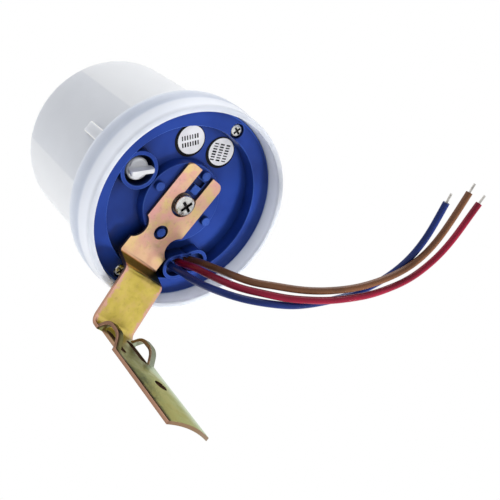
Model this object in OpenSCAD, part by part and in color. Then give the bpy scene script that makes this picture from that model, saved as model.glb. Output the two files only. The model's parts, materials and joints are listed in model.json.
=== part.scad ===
// Photocell switch: a frosted round cover over a moulded base, with a sensitivity knob, three
// leads and a folded steel bracket that hangs it on a wall or a pole.
// Sizes are in millimetres. The modules work from the centre of the base face, dome up, and
// at_mount() carries them to the part's origin, on the wall side of the bracket's screw hole.

/* [Cover] */
// Outer radius of the round body
cover_r = 32; // [30:0.5:38]
// Wall of the cover
cover_wall = 1.8; // [1.4:0.1:2.4]
// Height of the closed end above the base face
cover_h = 60; // [52:1:80]
// Radius of the rounded edge at the closed end
cover_edge_r = 4; // [3:0.5:9]
// Step from the body out to the skirt
skirt_step = 4; // [3.4:0.2:6]
// Height of the step above the base face
skirt_step_z = 7.2; // [6.8:0.2:9]
// Height of the straight band below the step
skirt_band = 5; // [3:0.5:7]
// Depth of the skirt below the base face
skirt_depth = 6; // [4:0.5:9]
// How far the skirt draws in towards its open rim
skirt_taper = 1; // [0.4:0.1:1.6]
// Width of the index tab on the body
tab_w = 3.9; // [3:0.1:7]
// Length of the index tab up from the step
tab_len = 13.4; // [6:0.2:18]
// How far the index tab stands out
tab_rise = 1.4; // [0.5:0.1:2]

/* [Base] */
// Clearance between the base and the skirt
base_fit = 0.15; // [0.05:0.05:0.4]
// General wall of the moulded base
base_wall = 2; // [1.6:0.1:2.4]
// Height of the base's outer edge
base_edge_h = 5; // [4:0.2:5.6]
// Width of the flat rim ring
rim_w = 6.3; // [5.8:0.1:7]
// Depth of the ring recess
recess_depth = 4.7; // [3.6:0.1:5.4]
// Draft run of the recess wall
recess_draft = 0.4; // [0.2:0.1:1.4]
// Radius of the centre pad
pad_r = 14; // [13.6:0.1:15]
// Depth of the centre pad below the rim
pad_depth = 1.5; // [1.3:0.1:2]
// Radius of the locating pins
pin_r = 1.55; // [1.2:0.05:1.8]
// Radius of the circle that the pins stand on
pin_circle_r = 11.7; // [11.2:0.1:12]

/* [Knob and well] */
// Inner radius of the knob well
well_r = 5; // [4.8:0.1:5.6]
// Wall of the knob well
well_wall = 1.3; // [1:0.1:1.6]
// Distance of the well's centre inside the rim ring
well_inset = 5.4; // [5:0.1:6.5]
// Radius of the knob's disc
knob_r = 3.7; // [3:0.1:4.2]
// Depth of the knob's face below the rim
knob_depth = 1.4; // [0.8:0.1:2]
// Height of the knob's finger blade
blade_h = 3; // [2:0.1:4]
// Thickness of the finger blade
blade_t = 1.4; // [1:0.1:1.8]
// Gap between the pointer's tip and the well
pointer_gap = 0.6; // [0.3:0.1:1]
// Direction of the pointer at rest
pointer_angle = -42; // [-130:1:130]
// Radius of the knob's shaft
shaft_r = 2; // [1.5:0.1:2.4]
// Radial running clearance of the shaft
shaft_fit = 0.05; // [0.02:0.01:0.1]

/* [Gland and leads] */
// Diameter of a lead over its insulation
lead_d = 2.4; // [2:0.1:2.6]
// Radial clearance of a lead in its hole
lead_fit = 0.1; // [0.05:0.05:0.2]
// Distance between neighbouring leads
lead_pitch = 3.54; // [3.3:0.02:4]
// Half width of the gland's collar
gland_r = 4.2; // [4:0.1:4.4]
// Wall of the gland's collar
gland_wall = 0.9; // [0.7:0.1:1.1]
// How far the collar stands below the rim face
gland_proud = 0.6; // [0.2:0.1:1.2]
// Diameter of a stripped lead's strands
strand_d = 0.9; // [0.6:0.1:1.2]
// Length of stripped strands
strip_len = 3.4; // [2:0.2:8]

/* [Bracket] */
// Width of the bracket's strip
bracket_w = 17; // [16:0.5:18]
// Thickness of the sheet steel
bracket_t = 1.2; // [0.8:0.1:1.4]
// Reach of the fork beyond the screw
fork_reach = 12.6; // [12:0.1:14]
// Width of the fork's slot
slot_w = 5.8; // [4.8:0.1:6.2]
// Radius of the round end of the slot
key_r = 4.4; // [4.3:0.1:4.8]
// Radius of the fork's outer corners
fork_corner_r = 2.4; // [1:0.1:2.6]
// Clearance round the pin in the peg hole
peg_fit = 0.95; // [0.3:0.05:1.2]
// Radius of the scallops at the waist
waist_r = 4.5; // [4:0.1:5]
// Width that the scallops leave at the waist
waist_w = 11.2; // [10:0.1:12.5]
// Distance of the waist past the peg hole
waist_past_peg = 2.1; // [1.6:0.1:2.4]
// Distance of the riser inside the base's edge
riser_inset = 8.2; // [7.8:0.1:9]
// Lean of the riser away from upright
riser_lean = 14; // [8:1:18]
// Clearance of the bracket under the skirt
skirt_gap = 1.6; // [1.2:0.1:3]
// Outward slope of the middle flat
flat_slope = 10; // [6:0.5:12]
// Bend radius of the two upper folds at mid sheet
bend_r = 1.7; // [1.2:0.1:2]
// Bend radius of the lower fold at mid sheet
leg_bend_r = 2.8; // [2:0.1:3.6]
// Clearance from the skirt to the mounting plane
leg_gap = 8; // [6:0.5:14]
// Drop of the leg's end below the base face
leg_drop = 62; // [58:1:90]
// How far the leg's middle bows in
leg_bow = 1.2; // [0.5:0.1:1.6]
// Radius of the mounting hole
hole_r = 2.1; // [1.6:0.1:3]
// Distance of the mounting hole from the leg's end
hole_from_end = 18.5; // [10:0.5:20]
// Width of the lanced arch along each edge
arch_w = 2.2; // [1.6:0.1:4]
// Length of the lanced arches
arch_len = 13; // [12:0.5:15]
// Rise of the arches at mid sheet
arch_rise = 4; // [3:0.1:4.6]

/* [Fasteners] */
// Radius of the bracket screw's shank
screw_r = 2; // [1.6:0.1:2]
// Radius of the bracket screw's head
screw_head_r = 3.5; // [3:0.05:3.7]
// Height of the bracket screw's head
screw_head_h = 2.1; // [1.6:0.1:2.6]
// Thickness of the plain washer
washer_t = 0.5; // [0.4:0.1:0.8]
// Thickness of the lock washer
lock_t = 0.6; // [0.4:0.1:0.9]
// Width of the captive nut across its flats
nut_flats = 7; // [6.4:0.1:7.4]
// Height of the captive nut
nut_h = 3.2; // [2.4:0.1:3.6]
// Radius of the small screws' shanks
small_screw_r = 1.25; // [1:0.05:1.4]
// Radius of the small screws' heads
small_head_r = 2.2; // [1.9:0.05:2.4]
// Height of the small screws' heads
small_head_h = 1.3; // [1:0.1:1.6]
// Clearance of a shank in its thread
thread_fit = 0.05; // [0.02:0.01:0.1]
// Clearance of a shank in a plain hole
hole_fit = 0.15; // [0.1:0.05:0.3]

/* [Labels] */
// Thickness of the labels
label_t = 0.12; // [0.1:0.02:0.3]
// Clearance between the labels and the recess walls
label_gap = 0.675; // [0.3:0.025:0.9]

/* [Electronics] */
// Height of the circuit board above the base face
board_z = 17; // [15:0.5:20]
// Thickness of the circuit board
board_t = 1.6; // [1:0.1:2]
// Clearance of the board inside the cover
board_gap = 3.2; // [2:0.1:4]
// Length of the relay
relay_len = 19; // [16:0.5:20]
// Width of the relay
relay_w = 15.5; // [12:0.5:16]
// Height of the relay
relay_h = 15.5; // [12:0.5:18]
// Length of the film capacitor
film_len = 18; // [14:0.5:19]
// Width of the film capacitor
film_w = 8; // [6:0.5:9]
// Height of the film capacitor
film_h = 13; // [10:0.5:16]
// Radius of the filter capacitor
filter_r = 5; // [4:0.1:5.4]
// Height of the filter capacitor
filter_h = 16; // [12:0.5:20]
// Radius of the light sensor's cell
sensor_r = 2.6; // [2.4:0.1:3]
// Height of the light sensor above the board
sensor_h = 26; // [20:1:30]
// Side of the potentiometer
pot_side = 9.6; // [8:0.1:10]
// Height of the potentiometer under the board
pot_h = 4.6; // [4:0.1:5.4]
// Body length of a rectifier diode
diode_len = 5.2; // [4:0.1:5.6]
// Body radius of a rectifier diode
diode_r = 1.35; // [1:0.05:1.5]
// Body length of a resistor
resistor_len = 6.5; // [5:0.1:7]
// Body radius of a resistor
resistor_r = 1.2; // [0.9:0.05:1.4]
// Radius of the varistor's disc
varistor_r = 4.6; // [3.6:0.1:5]
// Thickness of the varistor's disc
varistor_t = 3.4; // [2.6:0.1:4]
// Radius of the transistor's round side
transistor_r = 2.4; // [2.2:0.05:2.5]
// Height of the transistor's body
transistor_h = 4.8; // [4.4:0.1:5]

/* [Hidden] */
$fn = 64;
joint_overlap = 0.5;
cut_past = 1;
bend_steps = 8;
edge_steps = 10;

// Cover and base
skirt_r = cover_r + skirt_step;
skirt_rim_r = skirt_r - skirt_taper;
skirt_in_r = skirt_rim_r - cover_wall;
cover_in_r = cover_r - cover_wall;
base_r = skirt_in_r - base_fit;
rim_in_r = base_r - rim_w;
floor_out_r = rim_in_r - recess_draft;
pad_draft = 0.6;
edge_wall = 1.6;
rim_bevel = 0.4;
floor_top_z = recess_depth + base_wall;
pad_top_z = pad_depth + base_wall;
tab_shift = -0.6;

// Base screws stand in the middle of the rim's hollow
screw_inset = 0.5;
boss_wall = 0.8;
base_screw_turns = [-94, 96];
base_screw_ring_r = (rim_in_r + base_r) / 2 - screw_inset;
base_boss_r = small_head_r + boss_wall;
head_depth = 0.2;
head_recess = small_head_h + head_depth;
post_gap = 0.4;
cover_post_z = floor_top_z + post_gap;
cover_post_top = cover_post_z + 9;
base_screw_len = 12;
pilot_top_z = head_recess + base_screw_len + 0.5;

// Knob well, opening towards the rim ring
well_x = -(rim_in_r - well_inset);
well_sink = 1.2;
bearing_len = 3;
socket_depth = 3.2;
socket_gap = 0.2;
well_floor_z = recess_depth + well_sink;
bearing_top_z = floor_top_z + bearing_len;
shaft_top_z = board_z - pot_h + socket_depth;

// Gland, with its row of holes at 45 degrees and two lobes along the row
gland_at = [14.5, 16.5];
gland_turn = 135;
gland_lobes = lead_pitch * [[-0.06, 0.65], [-1.53, -1.24]];
gland_out = 0.5;
gland_floor_z = 2;
gland_lip = 0.35;
gland_lip_h = 0.8;

// Bracket, as a middle line seen from the side: [y, z]
strip_z = pad_depth - bracket_t / 2;
flat_z = -(skirt_depth + skirt_gap);
riser_foot_y = base_r - riser_inset - (strip_z - flat_z) * tan(riser_lean) / 2;
riser_top_y = riser_foot_y + (strip_z - flat_z) * tan(riser_lean);
mount_y = skirt_r + leg_gap;
leg_y = mount_y + leg_bow - bracket_t / 2;
leg_top_z = flat_z - (leg_y - riser_top_y) * tan(flat_slope);
leg_start_z = leg_top_z - leg_bend_r;
arch_below_fold = 1;
arch_top_z = leg_start_z - arch_below_fold;
bow_margin = 2.6;
bow_run = 11;
bow_top_z = arch_top_z - arch_len - bow_margin;
bow_full_z = bow_top_z - bow_run;
hole_z = -(leg_drop - hole_from_end);
strip_path = [[-fork_reach, strip_z], [riser_foot_y, strip_z], [riser_top_y, flat_z],
              [leg_y, leg_top_z], [leg_y, leg_start_z]];
strip_bends = [bend_r, bend_r, leg_bend_r];
waist_y = pin_circle_r + waist_past_peg;
arch_run = 3.2;
arch_crown_r = 4.5;
arch_root = 0.8;
lance_gap = 0.05;
bow_rows = 10;
bow_columns = 12;

// Screw stack under the centre pad
washer_past_head = 0.25;
screw_past_nut = 1;
screw_seat_z = pad_depth - washer_t - lock_t;
screw_end_z = pad_top_z + nut_h + screw_past_nut;
nut_r = nut_flats / 2 / cos(30);
pocket_wall = 1.3;
pocket_fit = 0.1;

// Electronics
board_r = cover_in_r - board_gap;
board_top_z = board_z + board_t;
post_r = 3;
post_inset = 0.6;
post_ring_r = floor_out_r - post_r - post_inset;
post_at = [for (turn = [-36, 100]) post_ring_r * [cos(turn), sin(turn)]];
pilot_depth = 7;
board_grip = 5;
leg_wire_r = 0.35;
wire_span = 10;
wire_lift = 0.4;
diode_pitch = 4;

// Places on the board, as shares of its radius
relay_at = board_r * [0.15, -0.33];
film_at = board_r * [-0.37, 0.48];
filter_at = board_r * [0.37, 0.33];
sensor_at = board_r * [-0.11, 0.15];
diodes_at = board_r * [-0.5, -0.37];
resistors_at = board_r * [-0.52, 0.11];
zener_at = board_r * [0.7, 0.07];
transistor_at = board_r * [0.74, 0.39];
varistor_at = board_r * [0.15, -0.78];

// Labels lie along the recess floor's outer edge
label_turns = [-122, -86];
label_edge = 0.15;
label_r = (floor_out_r - pad_r - pad_draft) / 2 - label_gap;
label_ring_r = floor_out_r - label_r - label_edge;

// Routes of the leads from the gland to the cut ends
route_blue = [
    [12, 19, 2], [11.5, 18.5, -3], [10.5, 17.5, -8], [10.5, 17, -13], [11, 16, -18],
    [12, 14.5, -23], [14.5, 12.5, -28], [18.5, 10, -32], [24.5, 6.5, -35], [31, 3, -36.5],
    [37.5, -1.5, -37], [44, -6.5, -37], [50, -11.5, -37], [55, -17.5, -37], [58.5, -24, -37.5],
    [60, -31, -38.5], [59.5, -37.5, -39.5], [57.5, -44, -40.5], [55, -50, -41], [52.5, -55.5, -41.5]];
route_red = [
    [14.5, 16.5, 2], [13.5, 15.5, -3], [12.5, 14, -8], [12, 13, -13], [12.5, 12, -18],
    [14, 10.5, -23.5], [17, 8.5, -28.5], [21, 5.5, -32.5], [26.5, 2.5, -36], [32.5, -1.5, -38.5],
    [39, -5.5, -40], [45.5, -10.5, -41], [52, -15.5, -41.5], [58, -21.5, -41.5], [63.5, -28, -41.5],
    [67, -35.5, -41.5], [69, -43.5, -41.5], [69, -51.5, -41.5], [68, -59, -41.5], [67.5, -64.5, -41.5]];
route_brown = [
    [17, 14, 2], [16, 12.5, -3], [14.5, 11, -8.5], [14, 10, -13.5], [14.5, 8.5, -18.5],
    [15.5, 7, -24], [18, 5, -29], [22, 2, -32], [27, -1, -35], [33, -4.5, -37],
    [39.5, -9, -38.5], [46, -14.5, -40], [52, -20.5, -40.5], [57.5, -27.5, -41], [61, -35, -41.5],
    [62.5, -43.5, -41.5], [61.5, -52, -41.5], [60, -59.5, -41.5], [59, -64, -41.5]];
lead_sides = 8;

function unit(v) = v / norm(v);
function left_of(v) = [-v[1], v[0]];
function reversed(list) = [for (i = [len(list) - 1:-1:0]) list[i]];
function smooth(t) = let (s = min(max(t, 0), 1)) s * s * (3 - 2 * s);
function arc(centre, r, from, to, steps) = [
    for (i = [0:steps]) let (a = from + (to - from) * i / steps) centre + r * [cos(a), sin(a)]];

// One rounded corner of a strip, moved off the middle line by side
function fold(p, q, n, r, side) =
    let (
        a = unit(p - q),
        b = unit(n - q),
        half = acos(a * b) / 2,
        hub = q + unit(a + b) * r / sin(half),
        from = unit(q + a * r / tan(half) - hub),
        to = unit(q + b * r / tan(half) - hub),
        sweep = acos(from * to),
        turn = left_of(-a) * b > 0 ? 1 : -1)
    [for (i = [0:bend_steps])
        let (t = i / bend_steps)
        hub + (r - turn * side) * (from * sin((1 - t) * sweep) + to * sin(t * sweep)) / sin(sweep)];

// One face of a folded strip, from its middle line
function strip_side(path, bends, side) =
    let (last = len(path) - 1)
    concat(
        [path[0] + side * left_of(unit(path[1] - path[0]))],
        [for (i = [1:last - 1])
            each fold(path[i - 1], path[i], path[i + 1], bends[i - 1], side)],
        [path[last] + side * left_of(unit(path[last] - path[last - 1]))]);

function strip_outline(path, bends, t) =
    concat(strip_side(path, bends, t / 2), reversed(strip_side(path, bends, -t / 2)));

// Direction of a route at one of its points
function heading(route, i) =
    unit(route[min(i + 1, len(route) - 1)] - route[max(i - 1, 0)]);
function ring(centre, along, r, sides) =
    let (
        u = unit(cross(along, [0.3, 1, 0.2])),
        v = cross(along, u))
    [for (k = [0:sides - 1]) let (a = 360 * k / sides) centre + r * (u * cos(a) + v * sin(a))];

module at_mount() {
    translate([0, -mount_y, -hole_z]) children();
}

// A solid swept along a route
module tube(route, r, sides) {
    last = len(route) - 1;
    points = [for (i = [0:last]) each ring(route[i], i == 0 ? [0, 0, -1] : heading(route, i), r, sides)];
    walls = [
        for (i = [0:last - 1], k = [0:sides - 1])
            let (n = (k + 1) % sides)
            [i * sides + k, i * sides + n, (i + 1) * sides + n, (i + 1) * sides + k]];
    ends = [
        reversed([for (k = [0:sides - 1]) k]),
        [for (k = [0:sides - 1]) last * sides + k]];
    polyhedron(points, [for (f = concat(walls, ends)) reversed(f)], convexity = 10);
}

// Stretches a side outline [y, z] across the part's width
module across(width) {
    rotate([90, 0, 90])
        linear_extrude(height = width, center = true) children();
}

// Cross-shaped driver recess, cut upwards from z = 0
module cross_recess(span, slot, depth) {
    for (turn = [0, 90])
        rotate(turn)
            translate([-span / 2, -slot / 2, -cut_past]) cube([span, slot, depth + cut_past]);
}

// A screw with its head's face at z = 0, pointing up
module pan_screw(head_r, head_h, shank_r, length) {
    dome = head_h * 0.45;
    difference() {
        union() {
            rotate_extrude()
                polygon([[0, 0], [head_r * 0.62, 0], [head_r * 0.9, dome * 0.5], [head_r, dome],
                         [head_r, head_h], [0, head_h]]);
            translate([0, 0, head_h - joint_overlap / 2])
                cylinder(r = shank_r, h = length + joint_overlap / 2);
        }
        rotate(20) cross_recess(head_r * 1.25, head_r * 0.28, head_h * 0.55);
    }
}

// Places its children on the lines of the two base screws
module at_base_screws(z) {
    for (turn = base_screw_turns)
        rotate(turn)
            translate([base_screw_ring_r, 0, z]) children();
}

module cover() {
    inner_edge_r = max(cover_edge_r - cover_wall, 0.5);
    rim_chamfer = 0.4;
    lip_r = 0.4;
    profile = concat(
        [[skirt_in_r, -skirt_depth], [skirt_rim_r - rim_chamfer, -skirt_depth],
         [skirt_rim_r, -skirt_depth + rim_chamfer], [skirt_r, skirt_step_z - skirt_band],
         [skirt_r, skirt_step_z - lip_r], [skirt_r - lip_r, skirt_step_z], [cover_r, skirt_step_z]],
        arc([cover_r - cover_edge_r, cover_h - cover_edge_r], cover_edge_r, 0, 90, edge_steps),
        [[0, cover_h], [0, cover_h - cover_wall]],
        arc([cover_in_r - inner_edge_r, cover_h - cover_wall - inner_edge_r], inner_edge_r, 90, 0,
            edge_steps),
        [[cover_in_r, base_edge_h], [skirt_in_r, base_edge_h]]);
    color("white")
        at_mount() {
            difference() {
                union() {
                    rotate_extrude($fn = 128) polygon(profile);
                    intersection() {
                        at_base_screws(cover_post_z)
                            cylinder(r = base_boss_r, h = cover_post_top - cover_post_z);
                        cylinder(r = cover_r - cover_wall / 2, h = cover_h);
                    }
                    translate([-cover_r - tab_rise, tab_shift - tab_w / 2, skirt_step_z - joint_overlap])
                        cube([tab_rise + cover_wall / 2, tab_w, tab_len + joint_overlap]);
                }
                at_base_screws(base_edge_h - cut_past)
                    cylinder(r = small_screw_r + thread_fit, h = pilot_top_z - base_edge_h + cut_past);
            }
        }
}

// The base's revolved shell: rim ring, recess and centre pad in one wall
module base_shell() {
    rotate_extrude($fn = 128)
        polygon([
            [0, pad_depth], [pad_r, pad_depth], [pad_r + pad_draft, recess_depth],
            [floor_out_r, recess_depth], [rim_in_r, 0], [base_r - rim_bevel, 0],
            [base_r, rim_bevel], [base_r, base_edge_h], [base_r - edge_wall, base_edge_h],
            [base_r - edge_wall, base_wall], [rim_in_r + base_wall, base_wall],
            [floor_out_r + base_wall, floor_top_z], [pad_r + pad_draft - base_wall, floor_top_z],
            [pad_r - base_wall, pad_top_z], [0, pad_top_z]]);
}

// A cylinder on each lead's line
module lead_holes(r, from, to) {
    translate([gland_at[0], gland_at[1], 0])
        rotate(gland_turn)
            for (i = [-1:1])
                translate([i * lead_pitch, 0, from]) cylinder(r = r, h = to - from);
}

// Two joined lobes round the row of leads
module gland_collar(grow, from, to) {
    translate([gland_at[0], gland_at[1], from])
        rotate(gland_turn)
            for (lobe = gland_lobes)
                hull()
                    for (x = lobe)
                        translate([x, -gland_out, 0]) cylinder(r = gland_r + grow, h = to - from);
}

module base() {
    key_gap = 1.4;
    key_w = slot_w - 2 * key_gap;
    key_from = key_r + 0.2;
    key_len = 3;
    pocket_len = 2.2;
    pocket_margin = 0.8;
    pocket_share = 0.6;
    well_top_z = 0.2;
    bearing_wall = 1.6;
    nut_grip = 0.85;
    color("royalblue")
        at_mount()
            difference() {
                union() {
                    base_shell();
                    translate([well_x, 0, well_top_z])
                        cylinder(r = well_r + well_wall, h = floor_top_z - well_top_z);
                    translate([well_x, 0, floor_top_z - joint_overlap])
                        cylinder(r = shaft_r + bearing_wall, h = bearing_top_z - floor_top_z + joint_overlap);
                    gland_collar(0, -gland_proud, floor_top_z);
                    gland_collar(gland_lip, -gland_proud, -gland_proud + gland_lip_h);
                    for (turn = [0:90:270])
                        rotate(turn)
                            translate([pin_circle_r, 0, 0]) cylinder(r = pin_r, h = pad_top_z);
                    translate([-key_w / 2, -key_from - key_len, pad_depth - bracket_t])
                        cube([key_w, key_len, bracket_t + joint_overlap]);
                    at_base_screws(base_wall - joint_overlap)
                        cylinder(r = base_boss_r, h = base_edge_h - base_wall + joint_overlap);
                    for (at = post_at)
                        translate([at[0], at[1], floor_top_z - joint_overlap])
                            cylinder(r = post_r, h = board_z - floor_top_z + joint_overlap);
                    translate([0, 0, pad_top_z - joint_overlap])
                        cylinder(r = nut_r + pocket_fit + pocket_wall, h = nut_h * nut_grip + joint_overlap);
                }
                translate([well_x, 0, -cut_past]) cylinder(r = well_r, h = well_floor_z + cut_past);
                translate([well_x, 0, 0]) cylinder(r = shaft_r + shaft_fit, h = bearing_top_z + cut_past);
                gland_collar(-gland_wall, -gland_proud - cut_past, gland_floor_z);
                lead_holes(lead_d / 2 + lead_fit, 0, floor_top_z + cut_past);
                translate([-key_w / 2 - pocket_margin, -key_from - key_len - pocket_len, pad_depth - cut_past])
                    cube([key_w + 2 * pocket_margin, pocket_len, cut_past + base_wall * pocket_share]);
                cylinder(r = screw_r + hole_fit, h = board_z);
                translate([0, 0, pad_top_z]) cylinder(r = nut_r + pocket_fit, h = nut_h + cut_past, $fn = 6);
                at_base_screws(0) {
                    translate([0, 0, -cut_past])
                        cylinder(r = small_head_r + 2 * hole_fit, h = head_recess + cut_past);
                    cylinder(r = small_screw_r + hole_fit, h = floor_top_z + cut_past);
                }
                for (at = post_at)
                    translate([at[0], at[1], board_z - pilot_depth])
                        cylinder(r = small_screw_r + thread_fit, h = pilot_depth + cut_past);
            }
}

// The knob turns in the well's bearing, and its shaft reaches into the potentiometer
module sensitivity_knob() {
    disc_t = 2.4;
    chamfer = 0.5;
    tip = well_r - pointer_gap;
    tail = knob_r;
    color("gainsboro")
        at_mount()
            translate([well_x, 0, 0]) {
                rotate_extrude()
                    polygon([[0, knob_depth], [knob_r - chamfer, knob_depth], [knob_r, knob_depth + chamfer],
                             [knob_r, knob_depth + disc_t], [shaft_r, knob_depth + disc_t],
                             [shaft_r, shaft_top_z], [0, shaft_top_z]]);
                rotate(pointer_angle)
                    translate([-tail, 0, knob_depth + joint_overlap])
                        rotate([90, 0, 0])
                            linear_extrude(height = blade_t, center = true)
                                polygon([[chamfer, 0], [0.2, -blade_h - joint_overlap + chamfer],
                                         [chamfer, -blade_h - joint_overlap],
                                         [tail + tip - chamfer, -blade_h - joint_overlap],
                                         [tail + tip, -blade_h - joint_overlap + chamfer],
                                         [tail + tip, -joint_overlap], [tail + knob_r - chamfer, 0]]);
            }
}

// Lower leg, bowed across its width so that it seats on a pole
module bowed_leg() {
    run = -leg_drop - bow_top_z;
    function bow(i, j) =
        let (
            across = 2 * j / bow_columns - 1,
            down = run * i / bow_rows / (bow_full_z - bow_top_z))
        leg_bow * smooth(down) * (1 - across * across);
    function sheet(face) = [
        for (i = [0:bow_rows], j = [0:bow_columns])
            [bracket_w * (j / bow_columns - 0.5), leg_y + face * bracket_t / 2 - bow(i, j),
             bow_top_z + run * i / bow_rows]];
    row = bow_columns + 1;
    size = row * (bow_rows + 1);
    inner = [
        for (i = [0:bow_rows - 1], j = [0:bow_columns - 1])
            let (k = i * row + j)
            each [[k, k + 1, k + row + 1], [k, k + row + 1, k + row]]];
    outer = [for (f = inner) reversed([for (k = f) k + size])];
    top = [for (j = [0:bow_columns - 1]) [j, j + size, j + 1 + size, j + 1]];
    foot = [for (j = [0:bow_columns - 1])
        let (k = bow_rows * row + j) [k, k + 1, k + 1 + size, k + size]];
    left = [for (i = [0:bow_rows - 1])
        let (k = i * row) [k, k + row, k + row + size, k + size]];
    right = [for (i = [0:bow_rows - 1])
        let (k = i * row + bow_columns) [k, k + size, k + row + size, k + row]];
    polyhedron(concat(sheet(-1), sheet(1)), concat(inner, outer, top, foot, left, right), convexity = 6);
}

module lanced_arch() {
    foot_z = arch_top_z - arch_len;
    crown_y = leg_y - arch_rise;
    across(arch_w)
        polygon(strip_outline(
            [[leg_y, arch_top_z], [crown_y, arch_top_z - arch_run],
             [crown_y, foot_z + arch_run], [leg_y, foot_z]],
            [arch_crown_r, arch_crown_r], bracket_t));
}

module fork_corner() {
    difference() {
        translate([-cut_past, -cut_past, 0]) square(fork_corner_r + cut_past);
        translate([fork_corner_r, fork_corner_r]) circle(fork_corner_r);
    }
}

// Fork, riser and sloped flat, down to the end of the lower fold
module bracket_arm() {
    punch_h = 6;
    color("darkkhaki")
        at_mount()
            difference() {
                across(bracket_w) polygon(strip_outline(strip_path, strip_bends, bracket_t));
                translate([0, 0, pad_depth - punch_h / 2]) {
                    cylinder(r = key_r, h = punch_h);
                    translate([0, pin_circle_r, 0]) cylinder(r = pin_r + peg_fit, h = punch_h);
                    translate([-slot_w / 2, -fork_reach - cut_past, 0])
                        cube([slot_w, fork_reach + cut_past, punch_h]);
                    for (side = [-1, 1]) {
                        translate([side * (waist_w / 2 + waist_r), waist_y, 0])
                            cylinder(r = waist_r, h = punch_h);
                        translate([side * bracket_w / 2, -fork_reach, 0])
                            mirror([side > 0 ? 1 : 0, 0, 0])
                                linear_extrude(height = punch_h) fork_corner();
                    }
                }
            }
}

// Flat top with an arch lanced along each edge, and the bowed end with the mounting hole
module bracket_leg() {
    notch_len = arch_len - 2 * arch_root;
    notch_w = arch_w + 2 * lance_gap;
    arch_x = (bracket_w - notch_w) / 2;
    flat_len = leg_start_z - bow_top_z;
    color("darkkhaki")
        at_mount()
            difference() {
                union() {
                    difference() {
                        translate([-bracket_w / 2, leg_y - bracket_t / 2, bow_top_z])
                            cube([bracket_w, bracket_t, flat_len]);
                        for (side = [-1, 1])
                            translate([side * bracket_w / 2, leg_y, arch_top_z - arch_len / 2])
                                cube([2 * notch_w, 2 * bracket_t, notch_len], center = true);
                    }
                    for (side = [-1, 1])
                        translate([side * arch_x, 0, 0]) lanced_arch();
                    bowed_leg();
                }
                translate([0, leg_y - leg_bow - 2 * bracket_t, hole_z])
                    rotate([-90, 0, 0]) cylinder(r = hole_r, h = 4 * bracket_t + leg_bow);
            }
}

module bracket_screw() {
    color("silver")
        at_mount()
            translate([0, 0, screw_seat_z - screw_head_h])
                pan_screw(screw_head_r, screw_head_h, screw_r, screw_end_z - screw_seat_z);
}

module washer(outer, t) {
    difference() {
        cylinder(r = outer, h = t);
        translate([0, 0, -cut_past]) cylinder(r = screw_r + hole_fit, h = t + 2 * cut_past);
    }
}

// Split spring washer under the head
module lock_washer() {
    split = 0.5;
    color("gray")
        at_mount()
            translate([0, 0, screw_seat_z])
                difference() {
                    washer(screw_head_r, lock_t);
                    translate([0, -split / 2, -cut_past])
                        cube([2 * screw_head_r, split, lock_t + 2 * cut_past]);
                }
}

module flat_washer() {
    color("silver")
        at_mount()
            translate([0, 0, pad_depth - washer_t]) washer(screw_head_r + washer_past_head, washer_t);
}

module bracket_nut() {
    color("silver")
        at_mount()
            translate([0, 0, pad_top_z])
                difference() {
                    cylinder(r = nut_r, h = nut_h, $fn = 6);
                    translate([0, 0, -cut_past]) cylinder(r = screw_r + thread_fit, h = nut_h + 2 * cut_past);
                }
}

module base_screws() {
    color("silver")
        at_mount()
            at_base_screws(head_recess - small_head_h)
                pan_screw(small_head_r, small_head_h, small_screw_r, base_screw_len);
}

// Two round labels on the recess floor
module inspection_labels() {
    color("whitesmoke")
        at_mount()
            for (turn = label_turns)
                rotate(turn)
                    translate([label_ring_r, 0, recess_depth - label_t]) cylinder(r = label_r, h = label_t);
}

module lead_blue() {
    color("navy") at_mount() tube(route_blue, lead_d / 2, lead_sides);
}

module lead_red() {
    color("crimson") at_mount() tube(route_red, lead_d / 2, lead_sides);
}

module lead_brown() {
    color("saddlebrown") at_mount() tube(route_brown, lead_d / 2, lead_sides);
}

// Stripped strands that go on from the end of a route
module strands(route) {
    last = len(route) - 1;
    along = unit(route[last] - route[last - 1]);
    color("silver")
        at_mount()
            translate(route[last])
                rotate([0, acos(along[2]), atan2(along[1], along[0])])
                    cylinder(r = strand_d / 2, h = strip_len, $fn = 16);
}

module strands_blue() {
    strands(route_blue);
}

module strands_red() {
    strands(route_red);
}

module strands_brown() {
    strands(route_brown);
}

// The leads' inner stretch, from the gland's floor to the board
module lead_tails() {
    color("dimgray") at_mount() lead_holes(lead_d / 2, gland_floor_z, board_z);
}

module circuit_board() {
    color("darkgreen")
        at_mount()
            difference() {
                translate([0, 0, board_z]) cylinder(r = board_r, h = board_t);
                for (at = post_at)
                    translate([at[0], at[1], board_z - cut_past])
                        cylinder(r = small_screw_r + hole_fit, h = board_t + 2 * cut_past);
            }
}

module board_screws() {
    color("silver")
        at_mount()
            for (at = post_at)
                translate([at[0], at[1], board_top_z + small_head_h])
                    mirror([0, 0, 1])
                        pan_screw(small_head_r, small_head_h, small_screw_r, board_t + board_grip);
}

// A moulded block on the board, with a small chamfer round its top
module block(size, at) {
    edge = 0.5;
    translate([at[0], at[1], board_top_z])
        rotate([90, 0, 0])
            linear_extrude(height = size[1], center = true)
                polygon([[-size[0] / 2, 0], [size[0] / 2, 0], [size[0] / 2, size[2] - edge],
                         [size[0] / 2 - edge, size[2]], [edge - size[0] / 2, size[2]],
                         [-size[0] / 2, size[2] - edge]]);
}

module relay() {
    color("midnightblue") at_mount() block([relay_len, relay_w, relay_h], relay_at);
}

module film_capacitor() {
    color("firebrick") at_mount() block([film_len, film_w, film_h], film_at);
}

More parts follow.
